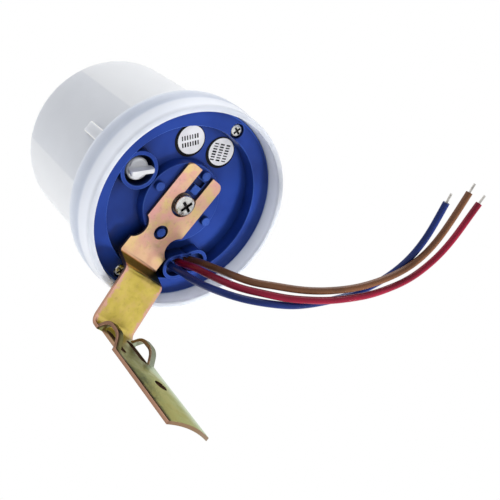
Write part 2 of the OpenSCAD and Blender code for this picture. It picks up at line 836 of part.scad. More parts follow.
// Upright can with a crimped groove round its foot
module filter_capacitor() {
    groove = 0.4;
    groove_z = 2;
    top_edge = 0.6;
    color("darkslategray")
        at_mount()
            translate([filter_at[0], filter_at[1], board_top_z])
                rotate_extrude()
                    polygon([[0, 0], [filter_r, 0], [filter_r, groove_z - 1.5 * groove],
                             [filter_r - groove, groove_z], [filter_r, groove_z + 1.5 * groove],
                             [filter_r, filter_h - top_edge], [filter_r - top_edge, filter_h], [0, filter_h]]);
}

// Light cell on long legs, looking up through the cover
module light_sensor() {
    spacing = 3.4;
    cell_t = 2;
    color("orange")
        at_mount()
            translate([sensor_at[0], sensor_at[1], board_top_z]) {
                translate([0, 0, sensor_h - cell_t]) cylinder(r = sensor_r, h = cell_t);
                for (side = [-1, 1])
                    translate([side * spacing / 2, 0, 0])
                        cylinder(r = leg_wire_r, h = sensor_h - cell_t + joint_overlap, $fn = 16);
            }
}

// Trimmer under the board, with a socket for the knob's shaft
module potentiometer() {
    color("steelblue")
        at_mount()
            difference() {
                translate([well_x - pot_side / 2, -pot_side / 2, board_z - pot_h])
                    cube([pot_side, pot_side, pot_h]);
                translate([well_x, 0, board_z - pot_h - cut_past])
                    cylinder(r = shaft_r + shaft_fit, h = socket_depth + socket_gap + cut_past);
            }
}

// A part with axial wires, lying along x and standing on its bent wires
module axial(body_len, body_r, span) {
    wire_z = body_r + wire_lift;
    translate([0, 0, wire_z])
        rotate([0, 90, 0]) cylinder(r = body_r, h = body_len, center = true, $fn = 32);
    translate([0, 0, wire_z])
        rotate([0, 90, 0]) cylinder(r = leg_wire_r, h = span + 2 * leg_wire_r, center = true, $fn = 16);
    for (side = [-1, 1])
        translate([side * span / 2, 0, 0]) cylinder(r = leg_wire_r, h = wire_z, $fn = 16);
}

module rectifier_diodes() {
    color("dimgray")
        at_mount()
            for (i = [0:3])
                translate([diodes_at[0], diodes_at[1] + (i - 1.5) * diode_pitch, board_top_z])
                    axial(diode_len, diode_r, wire_span);
}

module zener_diode() {
    share = 0.8;
    color("darkorange")
        at_mount()
            translate([zener_at[0], zener_at[1], board_top_z])
                rotate(90) axial(share * diode_len, share * diode_r, share * wire_span);
}

module resistors() {
    color("tan")
        at_mount()
            for (side = [-1, 1])
                translate([resistors_at[0], resistors_at[1] + side * diode_pitch / 2, board_top_z])
                    axial(resistor_len, resistor_r, wire_span);
}

// Flat-fronted plastic transistor on three legs
module transistor() {
    leg_h = 2.5;
    leg_pitch = 1.27;
    flat = transistor_r / 2;
    color("black")
        at_mount()
            translate([transistor_at[0], transistor_at[1], board_top_z]) {
                difference() {
                    translate([0, 0, leg_h]) cylinder(r = transistor_r, h = transistor_h);
                    translate([-transistor_r, -transistor_r - flat, leg_h - cut_past])
                        cube([2 * transistor_r, transistor_r, transistor_h + 2 * cut_past]);
                }
                for (i = [-1:1])
                    translate([leg_pitch * i, 0, 0])
                        cylinder(r = leg_wire_r, h = leg_h + joint_overlap, $fn = 16);
            }
}

// Disc surge arrester, standing on two legs
module varistor() {
    leg_h = 1.5;
    leg_pitch = 5;
    color("royalblue")
        at_mount()
            translate([varistor_at[0], varistor_at[1], board_top_z]) {
                translate([0, 0, leg_h + varistor_r])
                    rotate([90, 0, 0]) cylinder(r = varistor_r, h = varistor_t, center = true);
                for (side = [-1, 1])
                    translate([side * leg_pitch / 2, 0, 0])
                        cylinder(r = leg_wire_r, h = leg_h + varistor_r / 2, $fn = 16);
            }
}

cover();
base();
sensitivity_knob();
bracket_arm();
bracket_leg();
bracket_screw();
lock_washer();
flat_washer();
bracket_nut();
base_screws();
inspection_labels();
lead_blue();
lead_red();
lead_brown();
strands_blue();
strands_red();
strands_brown();
lead_tails();
circuit_board();
board_screws();
relay();
film_capacitor();
filter_capacitor();
light_sensor();
potentiometer();
rectifier_diodes();
zener_diode();
transistor();
resistors();
varistor();
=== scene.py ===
"""Photocell switch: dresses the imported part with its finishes, leads and studio.

The CAD frame gives the places. Each operator makes one piece or one group of like pieces, and the
panel in the 3D view's sidebar lists them with the sizes and colours that they use.
"""

import json
import math

import bmesh
import bpy
from bpy.props import FloatProperty, FloatVectorProperty, IntProperty, PointerProperty
from mathutils import Matrix, Vector


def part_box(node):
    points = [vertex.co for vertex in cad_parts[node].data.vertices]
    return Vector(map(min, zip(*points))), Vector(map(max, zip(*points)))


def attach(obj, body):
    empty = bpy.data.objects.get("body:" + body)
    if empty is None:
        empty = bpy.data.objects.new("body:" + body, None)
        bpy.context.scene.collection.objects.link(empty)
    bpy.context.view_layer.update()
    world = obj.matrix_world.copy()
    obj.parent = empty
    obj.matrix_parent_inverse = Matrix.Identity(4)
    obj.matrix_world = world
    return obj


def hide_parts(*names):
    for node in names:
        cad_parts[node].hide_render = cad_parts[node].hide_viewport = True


bl_info = {
    "name": "Photocell Switch",
    "version": (1, 0, 0),
    "blender": (4, 5, 0),
    "location": "3D View > Sidebar > Photocell",
    "description": "Finishes, leads and studio for a photocell switch",
    "category": "Object",
}

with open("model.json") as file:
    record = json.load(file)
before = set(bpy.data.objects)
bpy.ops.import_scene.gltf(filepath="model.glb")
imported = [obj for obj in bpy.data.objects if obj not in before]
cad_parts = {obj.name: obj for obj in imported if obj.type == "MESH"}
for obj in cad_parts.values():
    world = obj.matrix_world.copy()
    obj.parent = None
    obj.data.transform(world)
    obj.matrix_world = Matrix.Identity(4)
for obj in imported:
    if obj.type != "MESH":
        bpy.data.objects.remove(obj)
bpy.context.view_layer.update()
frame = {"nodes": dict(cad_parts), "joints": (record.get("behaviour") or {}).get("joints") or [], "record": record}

MM = 0.001
MERGE = 2e-6  # Points of a CAD mesh that lie this close are one point
ON_AXIS = 1e-7  # A smaller radius is a point on the axis
HOUSING, KNOB = "housing", "knob"
JOINT = Vector(frame["joints"][0]["pos_m"])
BASE_FACE = Vector((0, JOINT.y, JOINT.z))
BASE_SCREW_TURNS = (math.radians(-94), math.radians(96))

CAMERA_PLACE = (-0.1446, -0.04966, -0.14168)
CAMERA_RIGHT = Vector((0.5624, -0.6303, -0.5352))
CAMERA_UP = Vector((-0.4432, -0.7762, 0.4483))

# Of each label: turn about the base's axis in degrees, step in from the label ring in mm, rows and
# columns of bars, lean of the rows in degrees, and seed of the bars' widths
LABELS = ((-122, 0.5, 2, 7, -48, 3), (-86, 0.0, 3, 7, -115, 8))
LABEL_FACETS = 64
PAPER_SHIFT = Vector((0.16, -0.4, 0)) * MM
PRINT_LIFT = 0.01 * MM

# Tones that the finishes mix with the colours in the settings, in linear RGB
DUST = (0.75, 0.75, 0.75, 1)
FLOOR_DRIFT = (0.83, 0.83, 0.83, 1)
# The skirt and rim tones are painted shade, and the edge tone is a painted highlight on the tab
COVER_TONES = {
    "skirt": (0.69, 0.725, 0.8, 1), "rim": (0.5, 0.53, 0.59, 1), "drift": (0.78, 0.82, 0.92, 1),
    "bright_edge": (0.97, 0.97, 0.98, 1),
}
# Of the plating tones, the pale green is a painted highlight, and the dim green, the edge line and the shut-in
# tone are painted shade
PLATING_TONES = {
    "grazing": (0.82, 0.82, 0.7, 1), "straw": (0.92, 0.7, 0.3, 1), "rose": (0.94, 0.46, 0.46, 1),
    "copper": (0.62, 0.36, 0.24, 1), "near_fold": (0.86, 0.6, 0.25, 1), "dull_gold": (0.5, 0.39, 0.06, 1),
    "tan": (0.75, 0.5, 0.24, 1), "bronze": (0.4, 0.3, 0.07, 1), "side_band": (0.75, 0.42, 0.33, 1),
    "moss": (0.4, 0.35, 0.11, 1), "dark_moss": (0.24, 0.27, 0.1, 1), "painted_highlight_green": (0.68, 0.82, 0.68, 1),
    "painted_shade_green": (0.16, 0.15, 0.07, 1), "painted_edge_shade": (0.05, 0.03, 0.015, 1),
    "shut_in": (0.05, 0.025, 0.016, 1), "scuff": (0.3, 0.14, 0.1, 1),
}
# The recess tone is painted shade in the screws' crosses, and the washer tone is partly painted shade
ZINC_TONES = {
    "cloud": (0.36, 0.34, 0.32, 1), "recess": (0.05, 0.05, 0.05, 1), "dull_and_shaded_washer": (0.16, 0.11, 0.08, 1),
}
PAPER_DRIFT, INK_DRIFT = (0.68, 0.68, 0.7, 1), (0.008, 0.008, 0.01, 1)
KNOB_DRIFT = (0.62, 0.63, 0.65, 1)

# Middle lines of the leads from the gland to the cut ends, in mm from the centre of the base face
ROUTES = {
    "blue": (
        (12, 19, 2), (11.5, 18.5, -3), (10.5, 17.5, -8), (10.5, 17, -13), (11, 16, -18),
        (12, 14.5, -23), (14.5, 12.5, -28), (18.5, 10, -32), (24.5, 6.5, -35), (31, 3, -36.5),
        (37.5, -1.5, -37), (44, -6.5, -37), (50, -11.5, -37), (55, -17.5, -37), (58.5, -24, -37.5),
        (60, -31, -38.5), (59.5, -37.5, -39.5), (57.5, -44, -40.5), (55, -50, -41),
        (52.5, -55.5, -41.5)),
    "red": (
        (14.5, 16.5, 2), (13.5, 15.5, -3), (12.5, 14, -8), (12, 13, -13), (12.5, 12, -18),
        (14, 10.5, -23.5), (17, 8.5, -28.5), (21, 5.5, -32.5), (26.5, 2.5, -36), (32.5, -1.5, -38.5),
        (39, -5.5, -40), (45.5, -10.5, -41), (52, -15.5, -41.5), (58, -21.5, -41.5), (63.5, -28, -41.5),
        (67, -35.5, -41.5), (69, -43.5, -41.5), (69, -51.5, -41.5), (68, -59, -41.5),
        (67.5, -64.5, -41.5)),
    "brown": (
        (17, 14, 2), (16, 12.5, -3), (14.5, 11, -8.5), (14, 10, -13.5), (14.5, 8.5, -18.5),
        (15.5, 7, -24), (18, 5, -29), (22, 2, -32), (27, -1, -35), (33, -4.5, -37),
        (39.5, -9, -38.5), (46, -14.5, -40), (52, -20.5, -40.5), (57.5, -27.5, -41), (61, -35, -41.5),
        (62.5, -43.5, -41.5), (61.5, -52, -41.5), (60, -59.5, -41.5), (59, -64, -41.5)),
}


def length(name, description, mm):
    """A length property, with its default in millimetres."""
    return FloatProperty(
        name=name, description=description, default=mm * MM, unit="LENGTH", precision=5)


def colour(name, description, *rgb):
    """A colour property, with its default in linear RGB."""
    return FloatVectorProperty(
        name=name, description=description, subtype="COLOR", size=4, min=0, max=1, default=(*rgb, 1))


def power(name, description, watts):
    """A lamp's power property, with its default in watts."""
    return FloatProperty(name=name, description=description, default=watts, unit="POWER")


class PhotocellCover(bpy.types.PropertyGroup):
    """Sizes of the frosted cover."""

    body_radius: length("Body radius", "Outer radius of the round body", 32)
    wall: length("Wall", "Thickness of the cover's wall", 1.8)
    end_rounding: length("End rounding", "Radius of the rounded edge at the closed end", 4)
    step_height: length("Step height", "Height of the step above the base face", 7.2)
    band_height: length("Band height", "Height of the straight band below the step", 5)
    rim_draw: length("Rim draw", "How far the skirt draws in towards its open rim", 1)
    lip: length("Lip", "Rounding of the step and the rim", 0.5)
    seat_height: length("Seat height", "Height of the shoulder that the base stops against", 5)
    tab_width: length("Tab width", "Width of the index tab", 3.9)
    tab_length: length("Tab length", "Length of the index tab up from the step", 13.4)
    tab_rise: length("Tab rise", "How far the index tab stands out from the body", 1.4)
    tab_shift: length("Tab shift", "How far the index tab sits off the middle", -0.6)
    tab_rounding: length("Tab rounding", "Rounding of the index tab's edges", 0.35)
    post_ring: length("Post ring", "Radius of the circle that the screw posts stand on", 28.4)
    post_radius: length("Post radius", "Outer radius of a screw post", 3)
    post_bore: length("Post bore", "Radius of the hole in a screw post", 1.3)
    post_foot: length("Post foot", "Height of a post's open end above the base face", 7.1)
    post_top: length("Post top", "Height of a post's far end above the base face", 16.1)
    facets: IntProperty(name="Facets", description="Facets round the cover", default=192, min=32)


class PhotocellLeads(bpy.types.PropertyGroup):
    """Sizes of the leads."""

    diameter: length("Lead diameter", "Diameter over the insulation", 2.4)
    wire: length("Wire diameter", "Diameter of one tinned wire", 0.3)
    strip: length("Strip length", "Length of the stripped strands", 3.4)
    facets: IntProperty(name="Facets", description="Facets round a lead", default=24, min=8)
    wires: IntProperty(name="Wires", description="Wires laid round the middle one", default=6, min=3)
    twist: FloatProperty(
        name="Twist", description="Turns of the wires over the stripped length", default=0.6)


class PhotocellLabels(bpy.types.PropertyGroup):
    """Sizes of the inspection labels."""

    radius: length("Label radius", "Radius of a round label", 5.45)
    border: length("Border", "Mean width of the dark border", 0.66)
    ring: length("Label ring", "Radius of the circle that the labels lie on", 20.9)
    thickness: length("Thickness", "Thickness of the paper", 0.12)
    bar: length("Bar", "Width of a printed bar", 0.5)
    bar_step: length("Bar step", "Distance from one bar to the next", 0.92)
    bar_height: length("Bar height", "Height of a printed bar", 1.55)


class PhotocellBracket(bpy.types.PropertyGroup):
    """Sizes of the slots in the bracket's leg."""

    slot_offset: length("Slot offset", "Distance of a slot's middle line from the leg's", 4.5)
    slot_radius: length("Slot radius", "Radius of a slot's round ends", 1.3)
    slot_top: length("Slot top", "Height of the centre of a slot's upper end", 26.6)
    slot_foot: length("Slot foot", "Height of the centre of a slot's lower end", 17.2)


class PhotocellEdges(bpy.types.PropertyGroup):
    """Rounding of edges on pieces that follow the CAD solids."""

    moulding: length("Moulded edges", "Rounding of the base's edges", 0.26)
    sheet: length("Sheet edges", "Rounding of the bracket's cut edges", 0.16)
    screw: length("Screw edges", "Rounding of screws and washers", 0.1)
    knob: length("Knob edges", "Rounding of the knob's edges", 0.25)


class PhotocellColours(bpy.types.PropertyGroup):
    """Colours of the finishes."""

    cover: colour("Cover", "Frosted white plastic", 0.81, 0.85, 0.94)
    # Painted show-through of the blue base in the skirt's band
    painted_show_through: colour("Cover band", "Where the base shows through the skirt", 0.48, 0.53, 0.64)
    # Painted shade on a sector of the cover's body
    painted_cover_shade: colour("Cover shade", "Where the parts inside dim the body", 0.67, 0.71, 0.8)
    base: colour("Base", "Blue plastic", 0.012, 0.045, 0.272)
    base_deep: colour("Base shade", "Blue plastic where it is darker", 0.008, 0.034, 0.22)
    # Painted highlights on pin ends and rounded edges
    base_edge: colour("Base edges", "Blue plastic on pin ends and rounded edges", 0.03, 0.09, 0.4)
    # Painted shade in corners and pockets
    base_painted_shade: colour("Base pockets", "Blue plastic down in corners and pockets", 0.001, 0.006, 0.03)
    knob: colour("Knob", "Pale grey plastic", 0.8, 0.81, 0.84)
    plate_pink: colour("Plating, rosy", "Rosy yellow plating", 0.93, 0.55, 0.44)
    plate_gold: colour("Plating, gold", "Golden yellow plating", 0.7, 0.55, 0.13)
    plate_mint: colour("Plating, green", "Greenish plating on the leg", 0.36, 0.38, 0.14)
    # Painted shade on the riser
    riser_painted_shade: colour("Plating, olive", "Dull plating on the riser", 0.11, 0.1, 0.012)
    plate_edge: colour("Cut edge", "Plating on cut edges", 0.34, 0.19, 0.13)
    screw: colour("Screws", "Bright zinc plating", 0.74, 0.74, 0.72)
    blue_lead: colour("Blue lead", "Insulation", 0.008, 0.022, 0.14)
    red_lead: colour("Red lead", "Insulation", 0.25, 0.006, 0.03)
    brown_lead: colour("Brown lead", "Insulation", 0.16, 0.067, 0.031)
    tinned: colour("Tinned wire", "Stripped strands", 0.6, 0.58, 0.55)
    paper: colour("Label paper", "Coated paper", 0.8, 0.8, 0.82)
    ink: colour("Label ink", "Printed border and bars", 0.004, 0.004, 0.005)


class PhotocellStage(bpy.types.PropertyGroup):
    """Studio round the part."""

    floor_drop: length("Floor drop", "Depth of the floor below the mounting hole", 360)
    lens: FloatProperty(
        name="Lens", description="Focal length of the camera in millimetres", default=51.85)
    key: power("Key light", "Power of the lamp on the base", 0.9)
    side: power("Side lights", "Power of each of the two lamps beside the cover", 3.1)
    front: power("Front light", "Power of the lamp on the cover's front", 0.9)
    sky: FloatProperty(
        name="Sky", description="Strength of the even light from all round", default=0.42)
    floor_glow: FloatProperty(
        name="Floor glow", description="Share of plain white in the floor that the camera sees",
        default=0.6, min=0, max=1)
    floor: colour("Floor", "Plain pale floor", 0.85, 0.85, 0.85)


class PhotocellSettings(bpy.types.PropertyGroup):
    """Everything that the operators read."""

    cover: PointerProperty(type=PhotocellCover)
    leads: PointerProperty(type=PhotocellLeads)
    labels: PointerProperty(type=PhotocellLabels)
    bracket: PointerProperty(type=PhotocellBracket)
    edges: PointerProperty(type=PhotocellEdges)
    colours: PointerProperty(type=PhotocellColours)
    stage: PointerProperty(type=PhotocellStage)


def settings():
    return bpy.context.scene.photocell


def on_base(x, y, z):
    """A point given in mm from the centre of the base face."""
    return BASE_FACE + Vector((x, y, z)) * MM


def facing(direction):
    """The turn that points +Z along a direction."""
    return direction.to_track_quat("Z", "Y").to_matrix().to_4x4()


def dimmed(rgba, share):
    """A colour at a share of its brightness."""
    return (*(share * v for v in rgba[:3]), 1)


class Graph:
    """Adds nodes to a node tree and links them."""

    def __init__(self, tree):
        self.tree = tree

    def node(self, kind, inputs=None, **options):
        made = self.tree.nodes.new(kind)
        for name, value in options.items():
            setattr(made, name, value)
        for name, value in (inputs or {}).items():
            if isinstance(value, bpy.types.NodeSocket):
                self.tree.links.new(value, made.inputs[name])
            else:
                made.inputs[name].default_value = value
        return made

    def math(self, operation, a, b=0.0):
        return self.node("ShaderNodeMath", {0: a, 1: b}, operation=operation).outputs[0]

    def mix(self, factor, a, b):
        return self.node("ShaderNodeMix", {0: factor, 6: a, 7: b}, data_type="RGBA").outputs[2]

    def fade(self, value, low, high, start=0.0, end=1.0):
        made = self.node(
            "ShaderNodeMapRange",
            {"Value": value, "From Min": low, "From Max": high, "To Min": start, "To Max": end},
            interpolation_type="SMOOTHSTEP")
        return made.outputs["Result"]

    def noise(self, vector, scale, detail=3.0, roughness=0.5):
        made = self.node("ShaderNodeTexNoise", {
            "Vector": vector, "Scale": scale, "Detail": detail, "Roughness": roughness})
        return made.outputs["Fac"]

    def axes(self, vector):
        return self.node("ShaderNodeSeparateXYZ", {"Vector": vector}).outputs

    def mask(self, name):
        """A value that the mesh holds in an attribute."""
        return self.node("ShaderNodeAttribute", attribute_name=name).outputs["Fac"]

    def group(self, tree, place, scale, amount):
        """Outputs of one of the shader node groups below."""
        values = {"Vector": place, "Scale": scale, "Amount": amount}
        return self.node("ShaderNodeGroup", values, node_tree=tree).outputs


def new_tree(name, kind, inputs, outputs):
    """A node tree with named sockets, and its graph, input node and output node."""
    tree = bpy.data.node_groups.new(name, kind)
    for label, socket in inputs:
        tree.interface.new_socket(label, in_out="INPUT", socket_type=socket)
    for label, socket in outputs:
        tree.interface.new_socket(label, in_out="OUTPUT", socket_type=socket)
    graph = Graph(tree)
    return tree, graph, graph.node("NodeGroupInput").outputs, graph.node("NodeGroupOutput").inputs


SHADER_SOCKETS = [
    ("Vector", "NodeSocketVector"), ("Scale", "NodeSocketFloat"), ("Amount", "NodeSocketFloat")]


def moulded_grain():
    """Fine spark texture and slow tone drift of moulded plastic."""
    if "Moulded grain" in bpy.data.node_groups:
        return bpy.data.node_groups["Moulded grain"]
    tree, g, i, o = new_tree(
        "Moulded grain", "ShaderNodeTree", SHADER_SOCKETS,
        [("Height", "NodeSocketFloat"), ("Tone", "NodeSocketFloat")])
    fine = g.noise(i["Vector"], i["Scale"], 4.0, 0.6)
    slow = g.noise(i["Vector"], g.math("MULTIPLY", i["Scale"], 0.04), 2.0)
    g.tree.links.new(g.math("MULTIPLY", fine, i["Amount"]), o["Height"])
    g.tree.links.new(slow, o["Tone"])
    return tree


def specks():
    """Sparse dust and dirt specks."""
    if "Specks" in bpy.data.node_groups:
        return bpy.data.node_groups["Specks"]
    tree, g, i, o = new_tree(
        "Specks", "ShaderNodeTree", SHADER_SOCKETS, [("Mask", "NodeSocketFloat")])
    cells = g.node("ShaderNodeTexVoronoi", {"Vector": i["Vector"], "Scale": i["Scale"]})
    tint = g.node("ShaderNodeSeparateColor", {"Color": cells.outputs["Color"]}).outputs[0]
    rare = g.math("LESS_THAN", tint, i["Amount"])
    dot = g.fade(cells.outputs["Distance"], 0.06, 0.12, 1.0, 0.0)
    g.tree.links.new(g.math("MULTIPLY", rare, dot), o["Mask"])
    return tree


def plating_mottle():
    """Cloudy tint and fine drawn lines of chromated zinc."""
    if "Plating mottle" in bpy.data.node_groups:
        return bpy.data.node_groups["Plating mottle"]
    tree, g, i, o = new_tree(
        "Plating mottle", "ShaderNodeTree", SHADER_SOCKETS,
        [("Cloud", "NodeSocketFloat"), ("Patch", "NodeSocketFloat"), ("Height", "NodeSocketFloat")])
    cloud = g.noise(i["Vector"], i["Scale"], 3.0, 0.55)
    shifted = g.node(
        "ShaderNodeVectorMath", {0: i["Vector"], 1: (0.31, 0.17, 0.43)}, operation="ADD")
    patch = g.noise(shifted.outputs[0], g.math("MULTIPLY", i["Scale"], 2.3), 4.0, 0.6)
    drawn = g.node("ShaderNodeMapping", {"Vector": i["Vector"], "Scale": (1.0, 0.12, 0.12)})
    lines = g.noise(drawn.outputs[0], g.math("MULTIPLY", i["Scale"], 24.0), 2.0)
    g.tree.links.new(g.fade(cloud, 0.38, 0.64), o["Cloud"])
    g.tree.links.new(g.fade(patch, 0.42, 0.66), o["Patch"])
    g.tree.links.new(g.math("MULTIPLY", lines, i["Amount"]), o["Height"])
    return tree


def new_material(name, roughness, metallic=0.0, specular=0.5):
    """A material with a Principled shader, and its graph, shader and object coordinates."""
    material = bpy.data.materials.new(name)
    material.use_nodes = True
    material.node_tree.nodes.clear()
    g = Graph(material.node_tree)
    shader = g.node("ShaderNodeBsdfPrincipled", {
        "Roughness": roughness, "Metallic": metallic, "Specular IOR Level": specular})
    g.node("ShaderNodeOutputMaterial", {"Surface": shader.outputs["BSDF"]})
    return material, g, shader, g.node("ShaderNodeTexCoord").outputs["Object"]


def set_bump(g, shader, height, distance, strength=1.0):
    bump = g.node("ShaderNodeBump", {"Height": height, "Distance": distance, "Strength": strength})
    g.tree.links.new(bump.outputs["Normal"], shader.inputs["Normal"])


def set_colour(g, shader, socket):
    g.tree.links.new(socket, shader.inputs["Base Color"])


def set_roughness(g, shader, socket):
    g.tree.links.new(socket, shader.inputs["Roughness"])


def plastic(
        name, main, shade, roughness, grain_scale=2600.0, grain=1.0, dust=0.0, specular=0.5, painted_pocket_shade=None):
    """Moulded plastic with a fine grain, a slow drift of tone, a little dust and painted shade in pockets and
    corners.
    """
    material, g, shader, place = new_material(name, roughness, specular=specular)
    texture = g.group(moulded_grain(), place, grain_scale, grain)
    tint = g.mix(g.fade(texture["Tone"], 0.35, 0.7), main, shade)
    if dust:
        tint = g.mix(g.group(specks(), place, 420.0, dust)["Mask"], tint, DUST)
    # Painted shade: ambient occlusion darkens pockets and corners
    if painted_pocket_shade:
        occlusion = g.node("ShaderNodeAmbientOcclusion", {"Distance": 6.5 * MM}, samples=12).outputs["AO"]
        tint = g.mix(g.fade(occlusion, 0.12, 0.82), painted_pocket_shade, tint)
    set_colour(g, shader, tint)
    rough = g.fade(texture["Height"], 0.2, 0.8, roughness - 0.06, roughness + 0.08)
    set_roughness(g, shader, rough)
    set_bump(g, shader, texture["Height"], 0.03 * MM, 0.35)
    return material


def cover_finish():
    """Frosted white plastic, with painted shade on a sector of the body, the skirt and the rim, the base's blue
    painted into the skirt's band, and painted highlights on the tab's edges.
    """
    c, s, tone = settings().colours, settings().cover, COVER_TONES
    material, g, shader, place = new_material("cover_plastic", 0.34, specular=0.3)
    shader.subsurface_method = "RANDOM_WALK"
    shader.inputs["Subsurface Weight"].default_value = 0.8
    shader.inputs["Subsurface Radius"].default_value = (1.0, 1.0, 1.0)
    shader.inputs["Subsurface Scale"].default_value = 7 * MM
    texture = g.group(moulded_grain(), place, 1800.0, 1.0)
    x, y, z = g.axes(place)
    y = g.math("SUBTRACT", y, BASE_FACE.y)
    face, step = BASE_FACE.z, BASE_FACE.z + s.step_height
    above = g.fade(z, face - 0.8 * MM, face + 1.0 * MM)
    # Painted shade darkens a sector of the round wall, but not the closed end
    turn = g.math("ARCTAN2", y, g.math("MULTIPLY", x, -1.0))
    inside = g.math("MULTIPLY", g.fade(turn, -0.45, -0.42), g.fade(turn, 0.53, 0.5))
    flat = g.node("ShaderNodeCombineXYZ", {"X": x, "Y": y}).outputs[0]
    far = g.node("ShaderNodeVectorMath", {0: flat}, operation="LENGTH").outputs["Value"]
    inside = g.math("MULTIPLY", inside, g.fade(far, 0.84 * s.body_radius, 0.97 * s.body_radius))
    # Painted shade on the skirt below the base face
    tint = g.mix(above, tone["skirt"], tuple(c.cover))
    tint = g.mix(g.math("MULTIPLY", inside, above), tint, tuple(c.painted_cover_shade))
    # Painted show-through: the base's blue is painted into the skirt from its face up to the step, strongest low
    # down
    band = g.math("MULTIPLY", above, g.fade(z, step - 0.1 * MM, step - 0.5 * MM))
    band = g.math("MULTIPLY", band, g.fade(z, face + 2.0 * MM, step, 1.0, 0.7))
    tint = g.mix(band, tint, tuple(c.painted_show_through))
    # Painted shade near the open rim
    tint = g.mix(g.fade(z, face - 4.0 * MM, face - 5.9 * MM), tint, tone["rim"])
    tint = g.mix(g.fade(texture["Tone"], 0.3, 0.8, 0.0, 0.25), tint, tone["drift"])
    # Painted highlights on the tab's rounded edges
    set_colour(g, shader, g.mix(g.mask("bright_edge"), tint, tone["bright_edge"]))
    set_roughness(g, shader, g.fade(texture["Height"], 0.2, 0.8, 0.28, 0.42))
    set_bump(g, shader, texture["Height"], 0.02 * MM, 0.3)
    return material


def bracket_finish():
    """Yellow chromated steel: rosy on the arm, gold on the flat, greenish down the leg, with painted shade on the
    riser, the upper leg, its left edge, holes, slots and arches, and a painted highlight down the leg's right
    side.
    """
    c, tone = settings().colours, PLATING_TONES
    material, g, shader, place = new_material("bracket_steel", 0.3, 1.0)
    shader.inputs["Specular Tint"].default_value = tone["grazing"]
    mottle = g.group(plating_mottle(), place, 120.0, 1.0)
    cloudy = g.noise(place, 650.0, 4.0, 0.65)
    x, y, z = g.axes(place)
    arm, leg_top = BASE_FACE.z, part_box("bracket_leg")[1].z

    def some(mask, share):
        return g.math("MULTIPLY", mask, share)

    rosy = g.mix(some(mottle["Cloud"], 0.9), tuple(c.plate_pink), tone["straw"])
    rosy = g.mix(some(mottle["Patch"], 0.6), rosy, tone["rose"])
    rosy = g.mix(g.fade(cloudy, 0.52, 0.72, 0.0, 0.4), rosy, tone["copper"])
    near_fold = g.fade(y, BASE_FACE.y + 15 * MM, BASE_FACE.y + 21 * MM)
    rosy = g.mix(some(near_fold, 0.45), rosy, tone["near_fold"])

    golden = g.mix(some(mottle["Cloud"], 0.6), tuple(c.plate_gold), tone["dull_gold"])
    golden = g.mix(some(mottle["Patch"], 0.3), golden, tone["tan"])
    golden = g.mix(g.fade(cloudy, 0.5, 0.75, 0.0, 0.45), golden, tone["bronze"])
    ragged = g.math("ADD", g.math("ABSOLUTE", x), g.fade(cloudy, 0.3, 0.7, -0.9 * MM, 0.9 * MM))
    golden = g.mix(g.fade(ragged, 6.6 * MM, 8.3 * MM), golden, tone["side_band"])

    leafy = g.mix(some(mottle["Cloud"], 0.6), tuple(c.plate_mint), tone["moss"])
    leafy = g.mix(g.fade(cloudy, 0.5, 0.75, 0.0, 0.4), leafy, tone["dark_moss"])
    # Painted highlight down the right side of the bowed leg
    leafy = g.mix(some(g.fade(x, 0.5 * MM, 7.5 * MM), 0.85), leafy, tone["painted_highlight_green"])
    # Painted shade: the upper leg is darker
    leafy = g.mix(g.fade(z, 8 * MM, 20 * MM, 0.0, 0.55), leafy, tone["painted_shade_green"])
    # Painted shade along the leg's left edge
    leafy = g.mix(g.fade(x, -8.4 * MM, -7.0 * MM), tone["painted_edge_shade"], leafy)

    tint = g.mix(g.fade(z, leg_top - 1.0 * MM, leg_top + 2.5 * MM), leafy, golden)
    tint = g.mix(g.fade(z, arm - 3.0 * MM, arm), tint, rosy)
    # Painted shade on the riser between the arm and the flat
    riser_low, riser_high = g.fade(z, arm - 6.6 * MM, arm - 5.6 * MM), g.fade(z, arm, arm - 1.0 * MM)
    tint = g.mix(g.math("MULTIPLY", riser_low, riser_high), tint, tuple(c.riser_painted_shade))
    tint = g.mix(some(g.mask("cut_edge"), 0.85), tint, tuple(c.plate_edge))
    # Painted shade in holes, slots and under the arches
    tint = g.mix(g.mask("shut_in"), tint, tone["shut_in"])
    scuff = g.group(specks(), place, 700.0, 0.012)["Mask"]
    set_colour(g, shader, g.mix(scuff, tint, tone["scuff"]))
    set_roughness(g, shader, g.fade(mottle["Patch"], 0.0, 1.0, 0.32, 0.44))
    set_bump(g, shader, mottle["Height"], 0.02 * MM, 0.25)
    return material


def zinc_finish(name, tint, roughness=0.24):
    """Bright plated steel."""
    material, g, shader, place = new_material(name, roughness, 1.0)
    mottle = g.group(plating_mottle(), place, 500.0, 1.0)
    tone = g.mix(g.math("MULTIPLY", mottle["Cloud"], 0.6), tint, ZINC_TONES["cloud"])
    # Painted shade inside the screws' crosses
    set_colour(g, shader, g.mix(g.mask("recess"), tone, ZINC_TONES["recess"]))
    rough = g.fade(mottle["Patch"], 0.0, 1.0, roughness - 0.04, roughness + 0.1)
    set_roughness(g, shader, rough)
    set_bump(g, shader, mottle["Height"], 0.01 * MM, 0.25)
    return material


def printed_ink():
    ink = tuple(settings().colours.ink)
    return plastic("label_ink", ink, INK_DRIFT, 0.5, 3000.0, 0.5, specular=0.1)


def label_paper():
    return plastic("label_paper", tuple(settings().colours.paper), PAPER_DRIFT, 0.5, 5000.0, 0.6)


